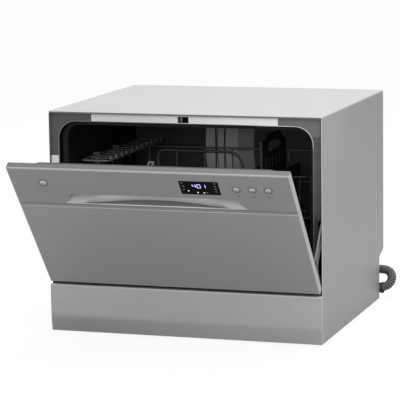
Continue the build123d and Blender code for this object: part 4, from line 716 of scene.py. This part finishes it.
# painted light on the wires at the left front, along the rear wall and on the shelf
WIRE_PAINTED_LIGHT = (  # the left front, the rear wall and the shelf
    tone(98, ("X", -0.11, -0.15), ("Y", -0.13, -0.165)),
    tone(140, ("Y", 0.150, 0.165)),
    tone(112, ("Z", 0.325, 0.330), ("X", -0.10, -0.14)),
)
FINISHES: dict[str, Finish] = {finish.name: finish for finish in (
    SilverPaint("casing_paint", grey(164), painted_light_zones=CASING_PAINTED_LIGHT),
    # a lighter copy of the casing paint, as painted light on the upward-facing top, and painted
    # shade under its front fold
    SilverPaint("top_paint_lit_copy", grey(191), 0.5, 0.08, coat=0.08, painted_light_zones=(
        tone(112, ("Y", -0.2432, -0.2440), ("Z", 0.4372, 0.4366)),
    )),
    SilverPaint("door_paint", grey(164), painted_light_zones=SKIN_PAINTED_LIGHT),
    MouldedPlastic("control_panel_plastic", grey(152), 0.44, 0.25, PANEL_PAINTED_LIGHT),
    # painted highlight along the kick plate's top edge, and painted shade low on it, darker
    # towards the left
    MouldedPlastic("kick_plate_plastic", grey(176), 0.46, 0.25, (
        tone(206, ("Z", 0.0945, 0.0965)), tone(168, LOW_KICK),
        tone(152, LOW_KICK, ("X", 0.15, -0.25)),
    )),
    FrameSteel("front_frame_steel", grey(88)),
    # tub steel painted dark as the tub's shade, darker towards the front, with a painted
    # highlight on its front lip, brightest at the upper right
    BrushedSteel("tub_steel", grey(30), 0.4, 0.5, (
        tone(6, ("Y", -0.15, -0.2)), tone(150, TUB_LIP),
        tone(245, TUB_LIP, ("Z", 0.368, 0.388), ("X", 0.12, 0.17)),
    ), Grain.BACK),
    # the rear wall painted dark as shade, and each fold's painted reflection: start, end and grey
    TubBackSteel("tub_back_steel", grey(62), folds=(
        (-0.099, -0.073, 246), (-0.073, -0.056, 252), (-0.056, -0.026, 255),
        (-0.029, 0.0085, 196),
    )),
    # the tub's floor, painted dark as shade
    BrushedSteel("tub_floor_steel", grey(60), 0.36),
    # painted shade over the liner's upper part
    BrushedSteel("door_liner_steel", grey(140), 0.34, 0.6, (
        tone(60, ("door Z", 0.400, 0.408)),
    )),
    # painted highlight, lighter towards the right
    BrushedSteel("bright_strip_steel", grey(226), 0.36, 0.2, (
        tone(255, ("X", -0.16, 0.16)),
    ), depth=0.000004),
    PlainMetal("zinc_plate", grey(170), 0.32),
    PlainMetal("hinge_arm_steel", grey(66), 0.4, 0.4, ARM_PAINTED_LIGHT),
    PlainMetal("polished_catch", grey(132), 0.35, 0.4),
    MouldedPlastic("black_plastic", grey(18), 0.55),
    MouldedPlastic("grey_plastic", grey(96), 0.42),
    MouldedPlastic("strike_plastic", grey(72)),
    MouldedPlastic("white_plastic", grey(214), 0.42),
    MouldedPlastic("basket_plastic", grey(50)),
    MouldedPlastic("jamb_cover_plastic", grey(222), 0.4),
    MouldedPlastic("button_ring_plastic", grey(108), 0.3, 0.2),
    # painted shade on the caps below door Z 0.396
    MouldedPlastic("button_cap_plastic", grey(206), 0.3, 0.25, (
        tone(150, ("door Z", 0.3995, 0.3960)),
    )),
    Elastomer("black_rubber", grey(16)),
    Elastomer("cuff_rubber", grey(52)),
    RibbedPlastic("hose_plastic", grey(100)),
    PlainMetal("coated_wire", grey(41), 0.36, 0.4, WIRE_PAINTED_LIGHT),
    MouldedPlastic("comb_plastic", grey(150), 0.4),
    DarkWindow("display_acrylic", grey(9)),
    Glow("display_blue", (0.42, 0.42, 1.0), strength=1.9),
    Glow("display_white", (1.0, 1.0, 1.0), strength=1.1),
    # painted glow: the unlit symbols shine faintly though they are no lamp
    Glow("display_painted_glow", (0.7, 0.7, 0.7), strength=0.012),
    MouldedPlastic("printed_ink", grey(74), 0.6),
    MouldedPlastic("board_lacquer", (0.02, 0.1, 0.04), 0.4),
)}


@cache
def finish_of(name: str) -> bpy.types.Material:
    """The material of a finish, built once.

    Args:
        name: The finish's name.

    Returns:
        The material.
    """
    return FINISHES[name].material()


# ---- Mesh helpers ----
def link_object(name: str, data: Any) -> bpy.types.Object:
    """Put new data into the scene.

    Args:
        name: The object's name.
        data: Its mesh, curve, camera or lamp.

    Returns:
        The object, at the origin.
    """
    made = bpy.data.objects.new(name, data)
    bpy.context.scene.collection.objects.link(made)
    return made


def mesh_object(name: str, build: Callable[[Shape], None], finish: str,
                turn: Optional[Matrix] = None) -> bpy.types.Object:
    """Make an object from a bmesh function.

    Args:
        name: The object's name.
        build: Fills the bmesh, in metres.
        finish: Name of its finish.
        turn: A matrix for the finished mesh, such as the door's opening; such pieces are
            flat prints, and shaded flat.

    Returns:
        The object, at the origin.
    """
    shape = bmesh.new()
    build(shape)
    bmesh.ops.recalc_face_normals(shape, faces=shape.faces)
    if turn is not None:
        shape.transform(turn)
    mesh = bpy.data.meshes.new(name)
    shape.to_mesh(mesh)
    shape.free()
    for polygon in mesh.polygons:
        polygon.use_smooth = turn is None
    mesh.materials.append(finish_of(finish))
    return link_object(name, mesh)


def edges_of(verts: Sequence[bmesh.types.BMVert]) -> list[bmesh.types.BMEdge]:
    """The edges at some vertices, each once and always in the same order.

    Args:
        verts: The vertices.

    Returns:
        Their edges.
    """
    return list(dict.fromkeys(edge for vert in verts for edge in vert.link_edges))


def add_box(shape: Shape, low: Point, high: Point, bevel: float = 0.0) -> None:
    """Add a box with rounded edges.

    Args:
        shape: The mesh being built.
        low: Its lowest corner.
        high: Its highest corner.
        bevel: Radius of its edges.
    """
    size = Vector(high) - Vector(low)
    middle = Matrix.Translation((Vector(low) + Vector(high)) / 2)
    made = bmesh.ops.create_cube(shape, size=1.0, matrix=middle @ Matrix.Diagonal((*size, 1.0)))
    if bevel > 0:
        edges = edges_of(made["verts"])
        bmesh.ops.bevel(shape, geom=edges, offset=bevel, segments=2, affect="EDGES", profile=0.5)


def add_disc(shape: Shape, centre: Point, radius: float, depth: float) -> None:
    """Add a short round pad with a softened rim, which looks towards -Y.

    Args:
        shape: The mesh being built.
        centre: Middle of its outer face.
        radius: Its radius.
        depth: Its thickness, behind the outer face.
    """
    front = Vector((0, -1, 0))
    turn = front.to_track_quat("Z", "Y").to_matrix().to_4x4()
    spot = Matrix.Translation(Vector(centre) - front * depth / 2)
    made = bmesh.ops.create_cone(
        shape, cap_ends=True, segments=24, radius1=radius, radius2=radius, depth=depth,
        matrix=spot @ turn,
    )
    rim = [edge for edge in edges_of(made["verts"])
           if len(edge.link_faces) == 2 and max(len(face.verts) for face in edge.link_faces) > 4]
    bmesh.ops.bevel(shape, geom=rim, offset=min(depth, radius) * 0.2, segments=1, affect="EDGES")


# ---- Geometry Nodes ----
class GeometryBench:
    """Builds a Geometry Nodes tree with named inputs."""

    def __init__(self, name: str, **inputs: str) -> None:
        """Start a tree with a geometry input and output.

        Args:
            name: The tree's name.
            **inputs: The kind of each further input's socket, such as Float.
        """
        self.tree = bpy.data.node_groups.new(name, "GeometryNodeTree")
        new = self.tree.interface.new_socket
        for way in ("INPUT", "OUTPUT"):
            new("Geometry", in_out=way, socket_type="NodeSocketGeometry")
        self.names = {
            key: new(key, in_out="INPUT", socket_type="NodeSocket" + kind).identifier
            for key, kind in inputs.items()
        }
        self.entry = self.tree.nodes.new("NodeGroupInput").outputs
        self.exit = self.tree.nodes.new("NodeGroupOutput").inputs
        self.node: Callable[..., bpy.types.Node] = partial(add_node, self.tree)

    def math(self, operation: str, first: Any, second: Any = 0.0) -> bpy.types.NodeSocket:
        """Add a Math node.

        Args:
            operation: Its operation.
            first: First socket or number.
            second: Second socket or number.

        Returns:
            Its result.
        """
        values = {0: first, 1: second}
        return self.node("ShaderNodeMath", values, operation=operation).outputs[0]

    def close(self, geometry: bpy.types.NodeSocket, finish: str) -> None:
        """Realise the result, give it its finish and end the tree.

        Args:
            geometry: What the tree makes.
            finish: Name of its finish.
        """
        real = self.node("GeometryNodeRealizeInstances", {0: geometry})
        dressed = self.node(
            "GeometryNodeSetMaterial", {0: real.outputs[0], "Material": finish_of(finish)}
        )
        self.tree.links.new(dressed.outputs[0], self.exit[0])

    def apply(self, target: bpy.types.Object, name: str, **sizes: Any) -> bpy.types.Object:
        """Run the tree on an object and keep the result as a plain mesh.

        Args:
            target: The object that the tree reads; it is removed.
            name: The new object's name.
            **sizes: Values of the named inputs.

        Returns:
            The mesh object.
        """
        modifier = target.modifiers.new(name, "NODES")
        modifier.node_group = self.tree
        for key, value in sizes.items():
            modifier[self.names[key]] = value
        bpy.context.view_layer.update()
        evaluated = target.evaluated_get(bpy.context.evaluated_depsgraph_get())
        made = link_object(name, bpy.data.meshes.new_from_object(evaluated))
        bpy.data.objects.remove(target)
        return made


GROOVE_EDGE = 1.5  # how steeply a hose rib falls into its groove
GROOVE_SHIFT = 0.1  # how far the grooves spread into the ribs


def ribbed_tube_tree() -> GeometryBench:
    """A tree that sweeps a corrugated tube along a curve.

    Returns:
        The tree, with inputs Radius, Pitch, Depth, Step and Sides.
    """
    bench = GeometryBench(
        "ribbed_tube", Radius="Float", Pitch="Float", Depth="Float", Step="Float", Sides="Int"
    )
    curve, radius, pitch, depth, step, sides = tuple(bench.entry)[:6]
    line = bench.node("GeometryNodeResampleCurve", {0: curve, "Length": step}, mode="LENGTH")
    length = bench.node("GeometryNodeSplineParameter", {}).outputs["Length"]
    phase = bench.math("MULTIPLY", bench.math("DIVIDE", length, pitch), 2 * math.pi)
    share = bench.node(
        "ShaderNodeMath", {0: bench.math("SINE", phase), 1: -GROOVE_EDGE, 2: GROOVE_SHIFT},
        operation="MULTIPLY_ADD", use_clamp=True,
    ).outputs[0]
    drop = bench.math("MULTIPLY", share, bench.math("DIVIDE", depth, radius))
    marked = bench.node(
        "GeometryNodeStoreNamedAttribute",
        {0: line.outputs[0], "Name": "groove", "Value": share},
        data_type="FLOAT", domain="POINT",
    )
    ring = bench.node("GeometryNodeCurvePrimitiveCircle", {"Resolution": sides, "Radius": radius})
    tube = bench.node("GeometryNodeCurveToMesh", {
        0: marked.outputs[0], 1: ring.outputs[0], "Scale": bench.math("SUBTRACT", 1.0, drop),
        "Fill Caps": True,
    })
    soft = bench.node("GeometryNodeSetShadeSmooth", {0: tube.outputs[0]})
    bench.close(soft.outputs[0], "hose_plastic")
    return bench


def row_tree() -> GeometryBench:
    """A tree that repeats a small block along a line.

    Returns:
        The tree, with inputs Count, Start, Step and Size.
    """
    bench = GeometryBench("row", Count="Int", Start="Vector", Step="Vector", Size="Vector")
    count, start, step, size = tuple(bench.entry)[1:5]
    line = bench.node(
        "GeometryNodeMeshLine", {"Count": count, "Start Location": start, "Offset": step},
        mode="OFFSET",
    )
    block = bench.node("GeometryNodeMeshCube", {"Size": size})
    copies = bench.node(
        "GeometryNodeInstanceOnPoints", {"Points": line.outputs[0], "Instance": block.outputs[0]}
    )
    bench.close(copies.outputs[0], "comb_plastic")
    return bench


# ---- Sub-assemblies ----
DRESSED: dict[str, str] = {  # each finish and the nodes that have it
    "top_paint_lit_copy": "top_panel",
    "casing_paint": "side_panel_left side_panel_right rear_panel",
    "door_paint": "door_outer_panel",
    "control_panel_plastic": "control_panel",
    "kick_plate_plastic": "kick_plate",
    "front_frame_steel": "front_frame",
    "tub_steel": "tub_wrapper flat_filter",
    "tub_back_steel": "tub_back",
    "tub_floor_steel": "tub_floor",
    "door_liner_steel": "door_inner_liner",
    "bright_strip_steel": "top_trim_strip",
    "zinc_plate": "hinge_brackets hinge_pins cabinet_screws",
    "hinge_arm_steel": "hinge_arms",
    "strike_plastic": "door_strike",
    "black_plastic": (
        "base_tray latch_housing sump salt_container drain_elbow "
        "hose_clip cable_gland hinge_brakes wash_pump drain_pump"
    ),
    "grey_plastic": (
        "dispenser_body dispenser_lid rinse_aid_cap salt_cap float_cap "
        "spray_hub spray_arm rack_glides tub_rails filter_cylinder"
    ),
    "white_plastic": "air_breather inlet_valve",
    "basket_plastic": "cutlery_basket",
    "jamb_cover_plastic": "jamb_plate",
    "button_ring_plastic": "button_rings",
    "button_cap_plastic": "button_power button_program button_option button_start",
    "black_rubber": "feet door_seals",
    "cuff_rubber": "drain_cuff hose_end_cuff",
    "hose_plastic": "drain_hose hose_coil",
    "coated_wire": "rack_floor rack_walls rack_tines cup_shelf",
    "display_acrylic": "display_window",
    "board_lacquer": "control_board",
}


@dataclass
class Dresser:
    """Gives the CAD nodes their finishes."""

    nodes: dict[str, bpy.types.Object]

    def dress(self) -> None:
        """Put one finish on every node."""
        bare = set(self.nodes)
        for key, names in DRESSED.items():
            for name in names.split():
                materials = self.nodes[name].data.materials
                materials.clear()
                materials.append(finish_of(key))
                bare.remove(name)
        LOG.info("nodes left bare: %s", sorted(bare))


SEGMENTS = {"0": "abcdef", "1": "bc", "4": "fgbc"}  # lit bars of each numeral


@dataclass
class DisplayFace:
    """What shows in the display window, in millimetres from its upper left corner."""

    left: float = 60.45
    top: float = 417.0
    face: float = DOOR_FACE / MM - 0.2
    proud: float = 0.12
    sunk: float = 0.05
    pen: float = 1.15
    trim: float = 0.5
    dot: tuple[float, float] = (1.3, 0.17)
    figures: tuple[tuple[str, float, float, float, float], ...] = (
        ("4", 27.9, 12.6, 5.8, 8.4), ("0", 36.9, 12.8, 6.0, 9.0), ("1", 46.6, 12.8, 5.4, 8.2),
    )
    dots: tuple[tuple[float, float], ...] = ((15.1, 25.8), (32.4, 29.8), (44.2, 30.0))
    symbols: tuple[tuple[float, float], ...] = (
        (5.6, 5.0), (7.2, 14.0), (6.6, 23.0), (68.6, 5.0),
        (68.4, 12.6), (68.6, 19.0), (68.4, 26.4), (50.0, 30.2),
    )

    def _bar(self, shape: Shape, u0: float, v0: float, u1: float, v1: float,
             width: float) -> None:
        """Add one bar between two points of the window.

        Args:
            shape: The mesh being built.
            u0: Start, across.
            v0: Start, down.
            u1: End, across.
            v1: End, down.
            width: The bar's width.
        """
        half = width / 2
        x0, x1 = self.left + min(u0, u1) - half, self.left + max(u0, u1) + half
        z0, z1 = self.top - max(v0, v1) - half, self.top - min(v0, v1) + half
        low = (x0 * MM, (self.face - self.proud) * MM, z0 * MM)
        add_box(shape, low, (x1 * MM, (self.face + self.sunk) * MM, z1 * MM))

    def _draw_figures(self, shape: Shape) -> None:
        """Add the seven-segment numerals, each round its middle u, v."""
        for what, u, v, wide, tall in self.figures:
            w, h = wide / 2, tall / 2
            ends = {
                "a": (-w, -h, w, -h), "b": (w, -h, w, 0), "c": (w, 0, w, h),
                "d": (-w, h, w, h), "e": (-w, 0, -w, h), "f": (-w, -h, -w, 0),
                "g": (-w, 0, w, 0),
            }
            for segment in SEGMENTS[what]:
                u0, v0, u1, v1 = ends[segment]
                du, dv = (self.trim if u0 != u1 else 0.0), (self.trim if v0 != v1 else 0.0)
                self._bar(shape, u + u0 + du, v + v0 + dv, u + u1 - du, v + v1 - dv, self.pen)

    def _draw_dots(self, shape: Shape) -> None:
        """Add the three round lamps."""
        radius, depth = self.dot
        for u, v in self.dots:
            x, y, z = self.left + u, self.face - self.proud, self.top - v
            add_disc(shape, (x * MM, y * MM, z * MM), radius * MM, depth * MM)

    def _draw_symbols(self, shape: Shape) -> None:
        """Add the unlit symbols, which have a faint painted glow: a short bar over a block."""
        for u, v in self.symbols:
            self._bar(shape, u - 1.4, v - 1.5, u + 1.4, v - 1.5, 0.6)
            self._bar(shape, u - 1.0, v + 0.2, u + 1.0, v + 0.2, 1.4)

    def build(self) -> list[bpy.types.Object]:
        """Make the pieces and fix them to the door."""
        made = [
            mesh_object("display_figures", self._draw_figures, "display_blue", DOOR_TURN),
            mesh_object("display_dots", self._draw_dots, "display_white", DOOR_TURN),
            mesh_object("display_symbols", self._draw_symbols, "display_painted_glow", DOOR_TURN),
        ]
        for piece in made:
            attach(piece, "door")
        return made


def arc(radius: float, start: float, end: float) -> Line:
    """Points on an arc about the origin.

    Args:
        radius: Its radius.
        start: First angle in degrees.
        end: Last angle in degrees.

    Returns:
        The points.
    """
    last = 13
    angles = [math.radians(start + (end - start) * i / last) for i in range(last + 1)]
    return tuple((radius * math.cos(a), radius * math.sin(a)) for a in angles)


MARKS: dict[str, tuple[tuple[float, Line], ...]] = {  # each mark's pens and lines
    "power": ((0.6, arc(2.2, 120, 420)), (0.6, ((0, 0.4), (0, 3)))),
    "plate": ((0.5, arc(2.2, 0, 360)), (0.5, arc(1.1, 0, 360))),
    "half": (
        (0.5, arc(2.2, 180, 360)), (0.5, ((-2.5, 0), (2.5, 0))), (0.5, ((-1.6, 1.6), (1.6, 1.6))),
    ),
    "start": (
        (0.6, ((-4, -2), (-4, 2), (-0.8, 0), (-4, -2))),
        (0.8, ((1.4, -2), (1.4, 2))), (0.8, ((3.4, -2), (3.4, 2))),
    ),
}


@dataclass
class PanelPrint:
    """Small printed pictograms under the buttons."""

    places: tuple[tuple[float, float, str], ...] = (
        (-207.5, 374.0, "power"), (168.2, 380.8, "plate"), (198.2, 380.8, "half"),
        (228.2, 380.8, "start"),
    )
    proud: float = 0.04
    sunk: float = 0.02

    def _stroke(self, shape: Shape, points: Sequence[tuple[float, float]], pen: float) -> None:
        """Add a printed line through points in the panel's plane.

        Args:
            shape: The mesh being built.
            points: Its points, in millimetres across and up.
            pen: Its width.
        """
        y0, y1 = DOOR_FACE / MM - self.proud, DOOR_FACE / MM + self.sunk
        for (x0, z0), (x1, z1) in zip(points, points[1:]):
            length = math.hypot(x1 - x0, z1 - z0)
            nx, nz = -(z1 - z0) / length * pen / 2, (x1 - x0) / length * pen / 2
            corners = (
                (x0 + nx, z0 + nz), (x1 + nx, z1 + nz), (x1 - nx, z1 - nz), (x0 - nx, z0 - nz),
            )
            front = [shape.verts.new((x * MM, y0 * MM, z * MM)) for x, z in corners]
            back = [shape.verts.new((x * MM, y1 * MM, z * MM)) for x, z in corners]
            shape.faces.new(front)
            shape.faces.new(list(reversed(back)))
            for i in range(4):
                j = (i + 1) % 4
                shape.faces.new((front[j], front[i], back[i], back[j]))

    def _draw(self, shape: Shape) -> None:
        """Add all four marks."""
        for x, z, kind in self.places:
            for pen, points in MARKS[kind]:
                self._stroke(shape, [(x + across, z + up) for across, up in points], pen)

    def build(self) -> bpy.types.Object:
        """Print the pictograms and fix them to the door."""
        made = mesh_object("panel_marks", self._draw, "printed_ink", DOOR_TURN)
        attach(made, "door")
        return made


@dataclass
class LatchCatch:
    """Sprung catch at the left of the latch's slot, and the stop at its right."""

    catch: tuple[Point, Point] = ((-0.0098, -0.2350, 0.4206), (-0.0042, -0.2262, 0.4304))
    nose: tuple[Point, Point] = ((-0.0048, -0.2344, 0.4236), (-0.0034, -0.2282, 0.4274))
    stop: tuple[Point, Point] = ((0.0084, -0.2350, 0.4212), (0.0102, -0.2262, 0.4298))
    edge: float = 0.0006

    def build(self) -> bpy.types.Object:
        """Make the catch with its nose and the stop, and fix them to the cabinet."""
        def blocks(shape: Shape) -> None:
            """Add the catch's body, its nose and the stop."""
            for low, high in (self.catch, self.nose, self.stop):
                add_box(shape, low, high, self.edge)

        made = mesh_object("latch_catch", blocks, "polished_catch")
        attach(made, "cabinet")
        return made


@dataclass
class ShelfComb:
    """Row of small teeth along the free edge of the cup shelf."""

    x: float = -0.1744
    z: float = 0.3342
    front: float = -0.172
    back: float = 0.132
    pitch: float = 0.030
    tooth: Point = (0.0016, 0.0022, 0.009)
    overlap: float = 0.001

    def build(self) -> bpy.types.Object:
        """Repeat the teeth along the shelf's edge wire."""
        count = int((self.back - self.front) / self.pitch) + 1
        seed = link_object("shelf_comb_seed", bpy.data.meshes.new("shelf_comb_seed"))
        made = row_tree().apply(
            seed, "shelf_comb", Count=count, Step=(0.0, self.pitch, 0.0), Size=self.tooth,
            Start=(self.x, self.front, self.z + self.tooth[2] / 2 - self.overlap),
        )
        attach(made, "cup_shelf")
        return made


@dataclass
class DrainHose:
    """Corrugated drain hose: out of its cuff, round the tight bend, and into a coil behind."""

    diameter: float = 0.0185
    length: float = 1.4
    pitch: float = 0.0044
    depth: float = 0.0012
    step: float = 0.00073
    sides: int = 20
    centre: tuple[float, float] = (20.0, 375.0)
    outer: float = 112.0
    inner: float = 93.0
    first: float = -105.0  # degrees at which the coil starts
    turn: float = -30.0  # degrees from one of its control points to the next
    inward: tuple[float, ...] = (0.0,) * 9 + (0.3, 0.7) + (1.0,) * 4  # from outer to inner
    run: tuple[Point, ...] = (
        (275.0, 221.0, 24.0), (286.6, 222.8, 26.5), (294.8, 228.0, 34.0), (296.7, 234.9, 43.9),
        (291.7, 241.3, 53.1), (281.5, 245.0, 58.5), (259.0, 247.5, 58.0), (222.0, 250.5, 51.0),
        (168.0, 254.5, 33.0), (112.0, 258.5, 16.5), (64.0, 262.0, 10.2),
    )

    def route(self) -> list[Vector]:
        """The hose's control points from its cuff to its end, in metres."""
        points = [Vector(p) for p in self.run]
        cx, cy = self.centre
        floor = self.diameter / MM / 2 + 0.1
        bulge = 1 / 0.966    # a control point's radius over the curve's

        def at(degrees: float, radius: float) -> Vector:
            """A control point of the coil."""
            a = math.radians(degrees)
            across, back = radius * bulge * math.cos(a), radius * bulge * math.sin(a)
            return Vector((cx + across, cy + back, floor))

        for index, share in enumerate(self.inward):
            radius = self.outer + (self.inner - self.outer) * share
            points.append(at(self.first + self.turn * index, radius))
        climb = (
            (-94.0, 24.0, floor + 1.5), (-80.0, 70.0, 17.5), (-44.0, 101.0, 28.6),
            (-14.0, 108.0, 30.2), (6.0, 108.0, 30.2),
        )
        points += [Vector((cx + x, cy + y, z)) for x, y, z in climb]
        return [p * MM for p in points]

    def curve(self) -> bpy.types.Object:
        """The route as one smooth spline."""
        data = bpy.data.curves.new("hose_route", "CURVE")
        data.dimensions = "3D"
        data.resolution_u = 24
        spline = data.splines.new("NURBS")
        points = self.route()
        spline.points.add(len(points) - 1)
        for point, place in zip(spline.points, points):
            point.co = (*place, 1.0)
        spline.order_u = 3
        spline.use_endpoint_u = True
        return link_object("hose_route", data)

    def build(self, end_cuff: bpy.types.Object) -> bpy.types.Object:
        """Args:
            end_cuff: The cuff on its far end; it is not used.

        Returns:
            The hose.
        """
        route = self.curve()
        bpy.context.view_layer.update()
        evaluated = route.evaluated_get(bpy.context.evaluated_depsgraph_get())
        line = bpy.data.meshes.new_from_object(evaluated)
        places = [vertex.co.copy() for vertex in line.vertices]
        path = [tuple(places[0])] + [
            tuple(b) for a, b in zip(places, places[1:]) if (b - a).length > 0.1 * MM
        ]
        made = ribbed_tube_tree().apply(
            route, "corrugated_hose", Radius=self.diameter / 2, Pitch=self.pitch,
            Depth=self.depth, Step=self.step, Sides=self.sides,
        )
        length = sum((Vector(b) - Vector(a)).length for a, b in zip(path, path[1:]))
        LOG.info("hose: %d faces, %.3f m along its line", len(made.data.polygons), length)
        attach(made, "cabinet")
        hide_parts("drain_hose", "hose_coil")
        return made


# ---- Studio ----
@dataclass
class Studio:
    """Floor, light and camera."""

    eye: Point = (1.33620, -4.16082, 0.92629)
    look: Point = (-0.04617, -0.0055, 0.23323)
    roll: float = -0.864
    lens: float = 196.48
    sensor: float = 36.0
    clip: float = 60.0
    floor_size: float = 14.0
    floor_tone: float = 0.5
    floor_shown: float = 0.9
    floor_lift: float = 0.91
    sky: float = 0.85
    horizon: float = 0.62
    zenith: float = 0.9
    lamps: tuple[tuple[str, Point, float, float], ...] = (
        ("overhead", (0.2, 0.6, 2.6), 2.2, 32.0), ("right_fill", (2.8, -0.7, 2.2), 2.0, 20.0),
        ("front_fill", (0.6, -3.6, 1.7), 2.0, 34.0), ("corner_fill", (1.7, -1.5, 1.3), 1.0, 6.0),
    )

    def camera(self) -> None:
        """Set up the camera at the photograph's viewpoint."""
        data = bpy.data.cameras.new("camera")
        data.lens = self.lens
        data.sensor_width = self.sensor
        data.sensor_fit = "HORIZONTAL"
        data.clip_end = self.clip
        back = (Vector(self.eye) - Vector(self.look)).normalized()
        right = Vector((-back.y, back.x, 0.0)).normalized()
        up = back.cross(right)
        angle = math.radians(self.roll)
        side = right * math.cos(angle) + up * math.sin(angle)
        rise = up * math.cos(angle) - right * math.sin(angle)
        turn = Matrix((side, rise, back)).transposed().to_4x4()
        made = link_object("camera", data)
        made.matrix_world = Matrix.Translation(Vector(self.eye)) @ turn
        bpy.context.scene.camera = made

    def light(self) -> None:
        """Hang the soft square lamps, each with its place, side in metres and power in watts."""
        centre = Vector((0.0, 0.0, 0.25))
        for name, place, size, power in self.lamps:
            data = bpy.data.lights.new(name, "AREA")
            data.shape = "SQUARE"
            data.size = size
            data.energy = power
            aim = (centre - Vector(place)).to_track_quat("-Z", "Y").to_matrix().to_4x4()
            link_object(name, data).matrix_world = Matrix.Translation(Vector(place)) @ aim

    def world(self) -> None:
        """An even sky: white to the camera, brighter overhead than at the horizon."""
        bench = ShaderBench("studio", bpy.data.worlds)
        place = bench.node("TexCoord", {}, "Generated")
        height = bench.node("SeparateXYZ", {0: place}, "Z")
        low = (self.horizon, self.horizon, self.horizon, 1.0)
        stops = ((0.0, low), (self.zenith, WHITE))
        shade = bench.node("ValToRGB", {0: height}, stops=stops)
        soft = bench.node("Background", {"Color": shade, "Strength": self.sky})
        white = bench.node("Background", {"Color": WHITE})
        seen = bench.node("LightPath", {}, "Is Camera Ray")
        through = bench.node("LightPath", {}, "Is Transmission Ray")
        either = bench.node("Math", {0: seen, 1: through}, operation="MAXIMUM")
        both = bench.node("MixShader", {0: either, 1: soft, 2: white})
        bpy.context.scene.world = bench.close(both, "World")

    def floor(self) -> None:
        """A pale floor: nearly white to the camera, with a soft shadow."""
        mesh = bpy.data.meshes.new("floor")
        s = self.floor_size
        mesh.from_pydata([(-s, -s, 0), (s, -s, 0), (s, s, 0), (-s, s, 0)], [], [(0, 1, 2, 3)])
        bench = ShaderBench("pale_floor")
        dull = (self.floor_tone, self.floor_tone, self.floor_tone, 1.0)
        pale = (self.floor_shown, self.floor_shown, self.floor_shown, 1.0)
        matt = bench.node("BsdfDiffuse", {"Color": dull})
        shown = bench.node("BsdfDiffuse", {"Color": pale})
        white = bench.node("Emission", {"Strength": 1.0})
        lift = bench.node("MixShader", {0: self.floor_lift, 1: shown, 2: white})
        seen = bench.node("LightPath", {}, "Is Camera Ray")
        both = bench.node("MixShader", {0: seen, 1: matt, 2: lift})
        mesh.materials.append(bench.close(both))
        link_object("floor", mesh)

    def build(self) -> None:
        """Set up everything round the object."""
        self.camera()
        self.light()
        self.world()
        self.floor()
        bpy.context.scene.view_settings.view_transform = "Standard"


def main() -> None:
    """Build every sub-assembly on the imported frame."""
    logging.basicConfig(level=logging.INFO, format="%(message)s")
    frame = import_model()
    nodes = frame["nodes"]
    Studio().build()
    Dresser(nodes).dress()
    pieces = DisplayFace().build() + [
        PanelPrint().build(), LatchCatch().build(), ShelfComb().build(),
        DrainHose().build(nodes["hose_end_cuff"]),
    ]
    for piece in pieces:
        LOG.info("%s: %d vertices", piece.name, len(piece.data.vertices))


if __name__ == "__main__":
    main()
